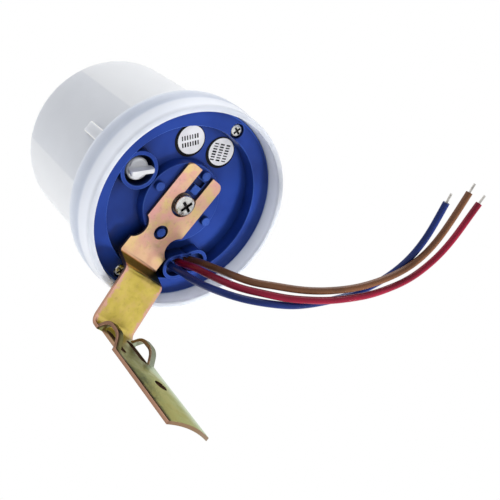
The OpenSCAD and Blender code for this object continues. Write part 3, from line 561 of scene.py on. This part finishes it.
def rounded(corners, steps=6):
    """A closed outline through (r, z, rounding) corners, in metres."""
    outline = []
    for i, (r, z, rounding) in enumerate(corners):
        here = Vector((r, z))
        before = (Vector(corners[i - 1][:2]) - here).normalized()
        after = (Vector(corners[(i + 1) % len(corners)][:2]) - here).normalized()
        if rounding <= 0:
            outline.append(here)
            continue
        half = before.angle(after) / 2
        hub = here + (before + after).normalized() * rounding / math.sin(half)
        start = here + before * rounding / math.tan(half) - hub
        end = here + after * rounding / math.tan(half) - hub
        sweep = start.angle(end)
        for k in range(steps + 1):
            t = k / steps
            spoke = start * math.sin((1 - t) * sweep) + end * math.sin(t * sweep)
            outline.append(hub + spoke / math.sin(sweep))
    return outline


def lathe(bm, outline, facets, centre):
    """Turns a closed outline of (r, z) points about a vertical line through centre."""
    rings = []
    for r, z in outline:
        if r < ON_AXIS:
            rings.append([bm.verts.new(centre + Vector((0, 0, z)))])
            continue
        angles = [math.tau * k / facets for k in range(facets)]
        ring = [Vector((r * math.cos(a), r * math.sin(a), z)) for a in angles]
        rings.append([bm.verts.new(centre + p) for p in ring])
    faces = []
    for one, two in zip(rings, rings[1:] + rings[:1]):
        for k in range(facets):
            n = k + 1
            corners = (one[k % len(one)], one[n % len(one)], two[n % len(two)], two[k % len(two)])
            corners = list(dict.fromkeys(corners))
            if len(corners) > 2:
                faces.append(bm.faces.new(corners))
    bmesh.ops.recalc_face_normals(bm, faces=faces)


def add_block(bm, low, high):
    """A box between two corners."""
    made = bmesh.ops.create_cube(bm, size=1.0)["verts"]
    for v in made:
        v.co = Vector([low[k] + (v.co[k] + 0.5) * (high[k] - low[k]) for k in range(3)])
    return made


def cad_copy(*nodes):
    """A merged copy of CAD nodes."""
    bm = bmesh.new()
    for name in nodes:
        bm.from_mesh(frame["nodes"][name].data)
    bmesh.ops.remove_doubles(bm, verts=bm.verts, dist=MERGE)
    return bm


def new_object(name, bm, *materials):
    mesh = bpy.data.meshes.new(name)
    bm.to_mesh(mesh)
    bm.free()
    piece = bpy.data.objects.new(name, mesh)
    bpy.context.scene.collection.objects.link(piece)
    for material in materials:
        mesh.materials.append(material)
    return piece


def discard(piece):
    """Removes a helper object and its mesh."""
    mesh = piece.data
    bpy.data.objects.remove(piece)
    bpy.data.meshes.remove(mesh)


def shade_round(piece, angle):
    """Smooth shading, with a crease where faces turn by more than an angle in degrees."""
    piece.data.shade_smooth()
    piece.data.set_sharp_from_angle(angle=math.radians(angle))


def bake_modifiers(piece):
    """Turns the piece's modifiers into plain mesh."""
    bpy.context.view_layer.update()
    evaluated = piece.evaluated_get(bpy.context.evaluated_depsgraph_get())
    mesh = bpy.data.meshes.new_from_object(evaluated)
    piece.modifiers.clear()
    old = piece.data
    piece.data = mesh
    bpy.data.meshes.remove(old)


def soften(piece, width, segments=2, angle=32.0, tint=-1):
    """Rounds sharp outer edges, which may take the material in slot tint, and keeps faces flat."""
    sharp = math.radians(angle)
    bm = bmesh.new()
    bm.from_mesh(piece.data)
    weight = bm.edges.layers.float.new("bevel_weight_edge")
    for e in bm.edges:
        turn = e.calc_face_angle_signed(0.0)
        e[weight] = 1.0 if turn > sharp else 0.0
        e.smooth = turn > -sharp
    for f in bm.faces:
        f.smooth = True
    bm.to_mesh(piece.data)
    bm.free()
    bevel = piece.modifiers.new("Rounded edges", "BEVEL")
    bevel.width = width
    bevel.segments = segments
    bevel.limit_method = "WEIGHT"
    bevel.use_clamp_overlap = False
    bevel.miter_outer = "MITER_ARC"
    bevel.material = tint
    weighted = piece.modifiers.new("Flat faces", "WEIGHTED_NORMAL")
    weighted.keep_sharp = True
    bake_modifiers(piece)


def run_nodes(piece, tree, values):
    """Builds a piece's mesh with a geometry node tree."""
    modifier = piece.modifiers.new(tree.name, "NODES")
    modifier.node_group = tree
    sockets = {s.name: s.identifier for s in tree.interface.items_tree if s.in_out == "INPUT"}
    for name, value in values.items():
        modifier[sockets[name]] = value
    bake_modifiers(piece)


def settle(piece, slot, *nodes, body=HOUSING):
    """The piece rides on its body and stands for its CAD nodes."""
    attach(piece, body)
    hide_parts(*nodes)


def smooth_route(points, steps=8):
    """A smooth line along a route, from its first point to its last."""
    p = [2 * points[0] - points[1], *points, 2 * points[-1] - points[-2]]
    line = []
    for a, b, c, d in zip(p, p[1:], p[2:], p[3:]):
        for k in range(steps):
            t = k / steps
            line.append((
                a * (1 - t) ** 3 + b * (3 * t ** 3 - 6 * t * t + 4)
                + c * (3 * t + 3 * t * t - 3 * t ** 3 + 1) + d * t ** 3) / 6)
    return line + [points[-1]]


GEOMETRY = ("Geometry", "NodeSocketGeometry")


def end_tree(g, i, o, geometry):
    """Ends a geometry node tree in plain mesh with its material."""
    whole = g.node("GeometryNodeRealizeInstances", {"Geometry": geometry})
    done = g.node("GeometryNodeSetMaterial", {"Geometry": whole.outputs[0], "Material": i["Material"]})
    g.tree.links.new(done.outputs[0], o["Geometry"])
    return g.tree


def insulated_lead_nodes():
    """Round insulation along a line."""
    _, g, i, o = new_tree(
        "Insulated lead", "GeometryNodeTree",
        [GEOMETRY, ("Diameter", "NodeSocketFloat"), ("Facets", "NodeSocketInt"),
         ("Material", "NodeSocketMaterial")],
        [GEOMETRY])
    line = g.node("GeometryNodeMeshToCurve", {"Mesh": i["Geometry"]})
    radius = g.math("MULTIPLY", i["Diameter"], 0.5)
    section = g.node("GeometryNodeCurvePrimitiveCircle", {"Resolution": i["Facets"], "Radius": radius})
    skin = g.node("GeometryNodeCurveToMesh", {
        "Curve": line.outputs["Curve"], "Profile Curve": section.outputs["Curve"], "Fill Caps": True})
    return end_tree(g, i, o, skin.outputs["Mesh"])


def stranded_end_nodes():
    """Tinned wires laid round a middle wire, standing up from the origin."""
    _, g, i, o = new_tree(
        "Stranded end", "GeometryNodeTree",
        [GEOMETRY, ("Wire", "NodeSocketFloat"), ("Length", "NodeSocketFloat"), ("Wires", "NodeSocketInt"),
         ("Twist", "NodeSocketFloat"), ("Material", "NodeSocketMaterial")],
        [GEOMETRY])
    section = g.node("GeometryNodeCurvePrimitiveCircle", {
        "Resolution": 10, "Radius": g.math("MULTIPLY", i["Wire"], 0.5)})
    laid = g.node("GeometryNodeCurveSpiral", {
        "Resolution": 24, "Rotations": i["Twist"], "Start Radius": i["Wire"], "End Radius": i["Wire"],
        "Height": i["Length"]})
    wire = g.node("GeometryNodeCurveToMesh", {
        "Curve": laid.outputs[0], "Profile Curve": section.outputs["Curve"], "Fill Caps": True})
    spots = g.node("GeometryNodePoints", {"Count": i["Wires"]})
    share = g.math("DIVIDE", math.tau, i["Wires"])
    turn = g.math("MULTIPLY", g.node("GeometryNodeInputIndex").outputs[0], share)
    spin = g.node("ShaderNodeCombineXYZ", {"Z": turn})
    laid_wires = g.node("GeometryNodeInstanceOnPoints", {
        "Points": spots.outputs[0], "Instance": wire.outputs[0], "Rotation": spin.outputs[0]})
    tip = g.node("ShaderNodeCombineXYZ", {"Z": i["Length"]})
    middle = g.node("GeometryNodeCurvePrimitiveLine", {"End": tip.outputs[0]})
    core = g.node("GeometryNodeCurveToMesh", {
        "Curve": middle.outputs[0], "Profile Curve": section.outputs["Curve"], "Fill Caps": True})
    both = g.node("GeometryNodeJoinGeometry")
    g.tree.links.new(laid_wires.outputs[0], both.inputs[0])
    g.tree.links.new(core.outputs[0], both.inputs[0])
    return end_tree(g, i, o, both.outputs[0])


def printed_bars_nodes():
    """Rows of short bars of random width, flat in the xy plane."""
    _, g, i, o = new_tree(
        "Printed bars", "GeometryNodeTree",
        [GEOMETRY, ("Rows", "NodeSocketInt"), ("Columns", "NodeSocketInt"), ("Pitch", "NodeSocketFloat"),
         ("Step", "NodeSocketFloat"), ("Bar", "NodeSocketFloat"), ("Height", "NodeSocketFloat"),
         ("Seed", "NodeSocketInt"), ("Material", "NodeSocketMaterial")],
        [GEOMETRY])
    wide = g.math("MULTIPLY", g.math("SUBTRACT", i["Columns"], 1.0), i["Step"])
    tall = g.math("MULTIPLY", g.math("SUBTRACT", i["Rows"], 1.0), i["Pitch"])
    spots = g.node("GeometryNodeMeshGrid", {
        "Size X": wide, "Size Y": tall, "Vertices X": i["Columns"], "Vertices Y": i["Rows"]})
    bar = g.node("GeometryNodeMeshGrid", {
        "Size X": i["Bar"], "Size Y": i["Height"], "Vertices X": 2, "Vertices Y": 2})
    breadth = g.node("FunctionNodeRandomValue", {
        "Min": (0.7, 1.0, 1.0), "Max": (1.25, 1.0, 1.0), "Seed": i["Seed"]}, data_type="FLOAT_VECTOR")
    bars = g.node("GeometryNodeInstanceOnPoints", {
        "Points": spots.outputs["Mesh"], "Instance": bar.outputs["Mesh"], "Scale": breadth.outputs[0]})
    return end_tree(g, i, o, bars.outputs[0])


class PHOTOCELL_OT_stage(bpy.types.Operator):
    """Camera, floor, sky and lamps"""

    bl_idname = "photocell.stage"
    bl_label = "Stage"

    def execute(self, context):
        s = settings().stage
        scene = context.scene
        scene.view_settings.view_transform = "Standard"
        right = CAMERA_RIGHT.normalized()
        back = right.cross(CAMERA_UP).normalized()
        up = back.cross(right)
        data = bpy.data.cameras.new("camera")
        data.lens = s.lens
        data.sensor_width = 36
        data.clip_start = 0.01
        camera = bpy.data.objects.new("camera", data)
        turn = Matrix((right, up, back)).transposed().to_4x4()
        camera.matrix_world = Matrix.Translation(CAMERA_PLACE) @ turn
        scene.collection.objects.link(camera)
        scene.camera = camera
        self.add_sky(scene, s.sky)
        self.add_floor(s)
        body = on_base(0, 0, 25)
        key = self.add_lamp(
            "key", BASE_FACE, Vector((0.72, 0.05, -0.69)), distance=0.3, size=0.065, watts=s.key)
        key.visible_glossy = False
        for name, direction, watts in (
                ("left", (-0.14, -0.99, 0.3), s.side), ("right", (-0.17, 0.98, 0.15), s.side),
                ("front", (-0.9, -0.1, 0.42), s.front)):
            self.add_lamp(name, body, Vector(direction), distance=0.7, size=0.5, watts=watts)
        return {"FINISHED"}

    def add_sky(self, scene, strength):
        world = bpy.data.worlds.new("studio")
        world.use_nodes = True
        world.node_tree.nodes.clear()
        g = Graph(world.node_tree)
        rays = g.node("ShaderNodeLightPath").outputs
        seen = g.math("MAXIMUM", rays["Is Camera Ray"], rays["Is Glossy Ray"])
        seen = g.math("MAXIMUM", seen, rays["Is Transmission Ray"])
        level = g.fade(seen, 0.0, 1.0, strength, 1.0)
        sky = g.node("ShaderNodeBackground", {"Color": (1, 1, 1, 1), "Strength": level})
        g.node("ShaderNodeOutputWorld", {"Surface": sky.outputs[0]})
        scene.world = world

    def add_floor(self, s):
        bm = bmesh.new()
        bmesh.ops.create_grid(bm, x_segments=1, y_segments=1, size=3.0)
        bmesh.ops.translate(bm, vec=(0, 0, -s.floor_drop), verts=bm.verts)
        material, g, shader, place = new_material("pale_floor", 0.8)
        set_colour(g, shader, g.mix(g.noise(place, 3.0), tuple(s.floor), FLOOR_DRIFT))
        rays = g.node("ShaderNodeLightPath").outputs
        glow = g.node("ShaderNodeEmission", {"Color": (1, 1, 1, 1), "Strength": 1.0})
        mirrored = g.math("MAXIMUM", rays["Is Glossy Ray"], rays["Is Transmission Ray"])
        pale = g.math("MULTIPLY", rays["Is Camera Ray"], s.floor_glow)
        blend = g.node("ShaderNodeMixShader", {
            "Fac": g.math("MAXIMUM", mirrored, pale), 1: shader.outputs[0], 2: glow.outputs[0]})
        g.node("ShaderNodeOutputMaterial", {"Surface": blend.outputs[0]}, is_active_output=True)
        new_object("floor", bm, material)

    def add_lamp(self, name, target, direction, distance, size, watts):
        """A square lamp that shines on the target from a direction."""
        data = bpy.data.lights.new(name, "AREA")
        data.energy = watts
        data.size = size
        lamp = bpy.data.objects.new(name, data)
        direction = direction.normalized()
        lamp.matrix_world = Matrix.Translation(target + direction * distance) @ facing(direction)
        bpy.context.scene.collection.objects.link(lamp)
        return lamp


class PHOTOCELL_OT_leads(bpy.types.Operator):
    """Three PVC leads and their stripped ends"""

    bl_idname = "photocell.leads"
    bl_label = "Leads"

    def execute(self, context):
        s, c = settings().leads, settings().colours
        lead_nodes, end_nodes = insulated_lead_nodes(), stranded_end_nodes()
        tinned = zinc_finish("strand_wire", tuple(c.tinned), 0.3)
        for name, route in ROUTES.items():
            tint = tuple(getattr(c, name + "_lead"))
            skin = plastic("lead_" + name, tint, dimmed(tint, 0.6), 0.3, 1800.0, specular=0.2)
            line = smooth_route([on_base(*p) for p in route])
            bm = bmesh.new()
            verts = [bm.verts.new(p) for p in line]
            for one, two in zip(verts, verts[1:]):
                bm.edges.new((one, two))
            lead = new_object(name + "_insulation", bm)
            run_nodes(lead, lead_nodes, {"Diameter": s.diameter, "Facets": s.facets, "Material": skin})
            shade_round(lead, 50)
            settle(lead, "lead_" + name, "lead_" + name)
            end = new_object(name + "_strands", bmesh.new())
            run_nodes(end, end_nodes, {
                "Wire": s.wire, "Length": s.strip, "Wires": s.wires, "Twist": s.twist,
                "Material": tinned})
            along = (line[-1] - line[-2]).normalized()
            end.data.transform(Matrix.Translation(line[-1]) @ facing(along))
            shade_round(end, 50)
            settle(end, "strand_wire", "strands_" + name)
        return {"FINISHED"}


class PHOTOCELL_OT_cover(bpy.types.Operator):
    """Frosted cover with its stepped skirt, tab and screw posts"""

    bl_idname = "photocell.cover"
    bl_label = "Cover"

    def execute(self, context):
        s = settings().cover
        low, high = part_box("cover")
        low, high = low - BASE_FACE, high - BASE_FACE
        skirt, top, rim = high.x, high.z, low.z
        rim_out = skirt - s.rim_draw
        skirt_in = rim_out - s.wall
        body_in = s.body_radius - s.wall
        outline = rounded([
            (skirt_in, rim, 0.3 * s.lip), (rim_out, rim, s.lip),
            (skirt, s.step_height - s.band_height, 4 * s.lip), (skirt, s.step_height, s.lip),
            (s.body_radius, s.step_height, s.lip),
            (s.body_radius, top, s.end_rounding), (0, top, 0), (0, top - s.wall, 0),
            (body_in, top - s.wall, s.end_rounding - s.wall), (body_in, s.seat_height, 0),
            (skirt_in, s.seat_height, 0)], steps=8)
        bm = bmesh.new()
        lathe(bm, outline, s.facets, BASE_FACE)
        self.add_posts(bm, s)
        self.add_tab(bm, s)
        piece = new_object("frosted_cover", bm, cover_finish())
        shade_round(piece, 32)
        settle(piece, "cover_plastic", "cover")
        return {"FINISHED"}

    def add_tab(self, bm, s):
        """Index tab on the step, with painted highlights on its rounded edges."""
        bright = bm.faces.layers.float.new("bright_edge")
        half, sunk = s.tab_width / 2, 0.2 * MM
        low = Vector((-s.body_radius - s.tab_rise, s.tab_shift - half, s.step_height - sunk))
        high = Vector((
            -s.body_radius + 0.5 * s.wall, s.tab_shift + half, s.step_height + s.tab_length))
        verts = add_block(bm, BASE_FACE + low, BASE_FACE + high)
        edges = list({e for v in verts for e in v.link_edges})
        rounded_edges = bmesh.ops.bevel(
            bm, geom=edges, offset=s.tab_rounding, segments=3, profile=0.5, affect="EDGES")
        # The rounded faces are marked for a painted highlight
        for f in rounded_edges["faces"]:
            f[bright] = 1.0

    def add_posts(self, bm, s):
        """Hollow posts that the base screws go into."""
        outline = [Vector(p) for p in (
            (s.post_radius, s.post_foot), (s.post_radius, s.post_top), (s.post_bore, s.post_top),
            (s.post_bore, s.post_foot))]
        for turn in BASE_SCREW_TURNS:
            centre = BASE_FACE + s.post_ring * Vector((math.cos(turn), math.sin(turn), 0))
            lathe(bm, outline, facets=32, centre=centre)


class PHOTOCELL_OT_base(bpy.types.Operator):
    """Blue moulded base"""

    bl_idname = "photocell.base"
    bl_label = "Base"

    def execute(self, context):
        c = settings().colours
        near_face, pad_reach = 0.4 * MM, 15 * MM
        bm = cad_copy("base")
        skin = plastic("base_plastic", tuple(c.base), tuple(c.base_deep), 0.36, 2200.0, dust=0.012,
                       specular=0.25, painted_pocket_shade=tuple(c.base_painted_shade))
        edge = plastic("base_edges", tuple(c.base_edge), tuple(c.base), 0.3, 2200.0, specular=0.3)
        # Ends of the pins and the boss take the painted highlight blue of the rounded edges, as one flat face each
        for f in bm.faces:
            middle = f.calc_center_median() - BASE_FACE
            if f.normal.z < -0.9 and middle.z < near_face and middle.xy.length < pad_reach:
                f.material_index = 1
        ends = {f for f in bm.faces if f.material_index}
        inner = [e for e in bm.edges if len(e.link_faces) == 2 and ends.issuperset(e.link_faces)]
        bmesh.ops.dissolve_edges(bm, edges=inner, use_verts=False)
        piece = new_object("blue_base", bm, skin, edge)
        # The rounded edges take slot 1, a painted highlight blue
        soften(piece, settings().edges.moulding, tint=1)
        settle(piece, "base_plastic", "base")
        return {"FINISHED"}


class PHOTOCELL_OT_knob(bpy.types.Operator):
    """Sensitivity knob"""

    bl_idname = "photocell.knob"
    bl_label = "Knob"

    def execute(self, context):
        c = settings().colours
        bm = cad_copy("sensitivity_knob")
        skin = plastic("knob_plastic", tuple(c.knob), KNOB_DRIFT, 0.16, 1500.0, 0.4)
        piece = new_object("knob_cap", bm, skin)
        soften(piece, settings().edges.knob, 3)
        settle(piece, "knob_plastic", "sensitivity_knob", body=KNOB)
        return {"FINISHED"}


class PHOTOCELL_OT_bracket(bpy.types.Operator):
    """Folded steel bracket, as one sheet"""

    bl_idname = "photocell.bracket"
    bl_label = "Bracket"

    def execute(self, context):
        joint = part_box("bracket_leg")[1].z
        bm = cad_copy("bracket_arm", "bracket_leg")
        inner = [f for f in bm.faces if all(abs(v.co.z - joint) < MERGE for v in f.verts)]
        bmesh.ops.delete(bm, geom=inner, context="FACES")
        piece = new_object("folded_bracket", bm, bracket_finish())
        self.cut_slots(piece)
        self.mark_faces(piece.data)
        soften(piece, settings().edges.sheet)
        settle(piece, "bracket_steel", "bracket_arm", "bracket_leg")
        return {"FINISHED"}

    def cut_slots(self, piece):
        """Long slots with round ends through the leg, one beside each arch."""
        s = settings().bracket
        front, through, steps = -1.0 * MM, 3.2 * MM, 12
        bm = bmesh.new()
        for side in (-1, 1):
            outline = []
            for end, start in ((s.slot_top, 0), (s.slot_foot, 180)):
                for k in range(steps + 1):
                    a = math.radians(start + 180 * k / steps)
                    x = side * s.slot_offset + s.slot_radius * math.cos(a)
                    outline.append((x, front, end + s.slot_radius * math.sin(a)))
            near = bm.faces.new([bm.verts.new(p) for p in outline])
            far = bmesh.ops.extrude_face_region(bm, geom=[near])["geom"]
            bmesh.ops.translate(
                bm, vec=(0, through, 0), verts=[v for v in far if isinstance(v, bmesh.types.BMVert)])
        bmesh.ops.recalc_face_normals(bm, faces=bm.faces)
        cutter = new_object("slots", bm)
        cut = piece.modifiers.new("Slots", "BOOLEAN")
        cut.operation = "DIFFERENCE"
        cut.solver = "EXACT"
        cut.object = cutter
        bake_modifiers(piece)
        discard(cutter)

    def mark_faces(self, mesh):
        """Marks cut edges, and faces that a hole, slot or arch shuts in, which the finish darkens with painted
        shade.
        """
        s = settings().bracket
        half_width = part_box("bracket_arm")[1].x
        edge_reach, hole_reach = 3 * MM, 2.4 * MM
        slot_reach = s.slot_radius + 0.1 * MM
        arch_low, arch_high, arch_inner, arch_rise = 12.8 * MM, 28.8 * MM, 6.2 * MM, 0.3 * MM
        names = ("cut_edge", "shut_in")
        for name in names:
            mesh.attributes.new(name, "FLOAT", "FACE")
        cut_edge, shut_in = (mesh.attributes[name].data for name in names)
        for face in mesh.polygons:
            middle, normal, out = face.center, face.normal, abs(face.center.x)
            side = abs(normal.x) > 0.8 and abs(out - half_width) < edge_reach
            punched = middle.z > BASE_FACE.z and abs(normal.z) < 0.2
            end = normal.z < -0.9 and middle.z < 0
            cut_edge[face.index].value = 1.0 if side or punched or end else 0.0
            wall, beside = abs(normal.y) < 0.3, arch_low < middle.z < arch_high
            hole = wall and middle.xz.length < hole_reach
            slot = wall and beside and abs(out - s.slot_offset) < slot_reach
            arch = beside and out > arch_inner and middle.y < -arch_rise
            shut_in[face.index].value = 1.0 if hole or slot else 0.4 if arch else 0.0


class PHOTOCELL_OT_fasteners(bpy.types.Operator):
    """Screws, washers and nut"""

    bl_idname = "photocell.fasteners"
    bl_label = "Fasteners"

    def execute(self, context):
        c = settings().colours
        zinc = zinc_finish("screw_steel", tuple(c.screw))
        # The washers are darker: partly their dull zinc, partly painted shade from the keyhole they sit in
        dull_and_shaded = zinc_finish("washer_steel", ZINC_TONES["dull_and_shaded_washer"], 0.34)
        for node in (
                "bracket_screw", "lock_washer", "flat_washer", "bracket_nut", "base_screws",
                "board_screws"):
            bm = cad_copy(node)
            if node.endswith(("screw", "base_screws")):
                self.mark_recesses(bm)
            piece = new_object("plated_" + node, bm, dull_and_shaded if node.endswith("washer") else zinc)
            soften(piece, settings().edges.screw)
            settle(piece, "screw_steel", node)
        return {"FINISHED"}

    def mark_recesses(self, bm):
        """Faces inside each head's cross, which the finish darkens with painted shade."""
        cross_share, shallow, deep = 0.66, 0.12 * MM, 1.4 * MM
        recess = bm.faces.layers.float.new("recess")
        left = set(bm.verts)
        while left:
            screw, edge = set(), {left.pop()}
            while edge:
                screw |= edge
                edge = {e.other_vert(v) for v in edge for e in v.link_edges} - screw
            left -= screw
            head = min(v.co.z for v in screw)
            sides = [[pick(v.co[k] for v in screw) for pick in (min, max)] for k in (0, 1)]
            axis = Vector([sum(side) / 2 for side in sides])
            reach = (sides[0][1] - sides[0][0]) / 2 * cross_share
            for f in {f for v in screw for f in v.link_faces}:
                middle = f.calc_center_median()
                sunk = shallow < middle.z - head < deep
                f[recess] = 1.0 if sunk and (middle.xy - axis).length < reach else 0.0


class PHOTOCELL_OT_labels(bpy.types.Operator):
    """Two round inspection labels with generic bars"""

    bl_idname = "photocell.labels"
    bl_label = "Labels"

    def execute(self, context):
        s = settings().labels
        ink = printed_ink()
        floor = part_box("inspection_labels")[1].z
        face = floor - s.thickness
        bm = bmesh.new()
        bars = printed_bars_nodes()
        for turn, inset, rows, columns, lean, seed in LABELS:
            a = math.radians(turn)
            centre = BASE_FACE + (s.ring - inset * MM) * Vector((math.cos(a), math.sin(a), 0))
            self.add_disc(bm, s, centre, face, floor)
            rows_of_bars = new_object("bars", bmesh.new())
            run_nodes(rows_of_bars, bars, {
                "Rows": rows, "Columns": columns, "Pitch": 1.5 * s.bar_height, "Step": s.bar_step,
                "Bar": s.bar, "Height": s.bar_height, "Seed": seed, "Material": ink})
            place = Matrix.Translation((centre.x, centre.y, face - PRINT_LIFT))
            lie = Matrix.Rotation(math.radians(lean), 4, "Z") @ Matrix.Rotation(math.pi, 4, "X")
            rows_of_bars.data.transform(place @ lie)
            kept = len(bm.faces)
            bm.from_mesh(rows_of_bars.data)
            bm.faces.ensure_lookup_table()
            for f in bm.faces[kept:]:
                f.material_index = 1
            discard(rows_of_bars)
        piece = new_object("round_labels", bm, label_paper(), ink)
        settle(piece, "label_paper", "inspection_labels")
        return {"FINISHED"}

    def add_disc(self, bm, s, centre, face, floor):
        """One label: paper inside a dark border, the paper set a little off centre so that the border is wider on
        one side.
        """
        angles = [math.tau * k / LABEL_FACETS for k in range(LABEL_FACETS)]
        rings = (
            (centre + PAPER_SHIFT, s.radius - s.border, face), (centre, s.radius, face),
            (centre, s.radius, floor))
        rows = [
            [bm.verts.new((hub.x + r * math.cos(a), hub.y + r * math.sin(a), z)) for a in angles]
            for hub, r, z in rings]
        bm.faces.new(rows[0][::-1])
        for one, two in zip(rows, rows[1:]):
            for k in range(LABEL_FACETS):
                n = (k + 1) % LABEL_FACETS
                bm.faces.new((one[k], one[n], two[n], two[k])).material_index = 1
        bm.faces.new(rows[2])


class PHOTOCELL_OT_electronics(bpy.types.Operator):
    """Finishes of the board and the pieces inside the cover"""

    bl_idname = "photocell.electronics"
    bl_label = "Electronics"

    def execute(self, context):
        slots = {m["slot"]: (*m["base_color"], 1) for m in frame["record"]["materials"]}
        inside = {
            "lead_tails": ("lead_brown", 0.35), "circuit_board": ("board_laminate", 0.3),
            "relay": ("dark_case", 0.4), "film_capacitor": ("film_case", 0.25),
            "filter_capacitor": ("dark_case", 0.3), "light_sensor": ("sensor_cell", 0.2),
            "potentiometer": ("trimmer_case", 0.4), "rectifier_diodes": ("dark_case", 0.35),
            "zener_diode": ("sensor_cell", 0.15), "transistor": ("dark_case", 0.5),
            "resistors": ("resistor_body", 0.4), "varistor": ("trimmer_case", 0.3)}
        for node, (slot, roughness) in inside.items():
            tint = slots[slot]
            mesh = frame["nodes"][node].data
            mesh.materials.clear()
            mesh.materials.append(plastic(node + "_finish", tint, dimmed(tint, 0.7), roughness))
        return {"FINISHED"}


OPERATORS = (
    PHOTOCELL_OT_stage, PHOTOCELL_OT_leads, PHOTOCELL_OT_cover, PHOTOCELL_OT_base, PHOTOCELL_OT_knob,
    PHOTOCELL_OT_bracket, PHOTOCELL_OT_fasteners, PHOTOCELL_OT_labels, PHOTOCELL_OT_electronics)


class PHOTOCELL_PT_panel(bpy.types.Panel):
    """Lists the pieces and their settings"""

    bl_idname = "PHOTOCELL_PT_panel"
    bl_label = "Photocell Switch"
    bl_space_type = "VIEW_3D"
    bl_region_type = "UI"
    bl_category = "Photocell"

    def draw(self, context):
        for operator in OPERATORS:
            self.layout.operator(operator.bl_idname)
        for name in PhotocellSettings.__annotations__:
            box = self.layout.box()
            group = getattr(settings(), name)
            for key in type(group).__annotations__:
                box.prop(group, key)


CLASSES = (
    PhotocellCover, PhotocellLeads, PhotocellLabels, PhotocellBracket, PhotocellEdges, PhotocellColours,
    PhotocellStage, PhotocellSettings, *OPERATORS, PHOTOCELL_PT_panel)


def register():
    for cls in CLASSES:
        bpy.utils.register_class(cls)
    bpy.types.Scene.photocell = PointerProperty(type=PhotocellSettings)


def unregister():
    del bpy.types.Scene.photocell
    for cls in reversed(CLASSES):
        bpy.utils.unregister_class(cls)


def main():
    register()
    for operator in OPERATORS:
        group, name = operator.bl_idname.split(".")
        getattr(getattr(bpy.ops, group), name)()
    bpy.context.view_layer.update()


if __name__ == "__main__":
    main()
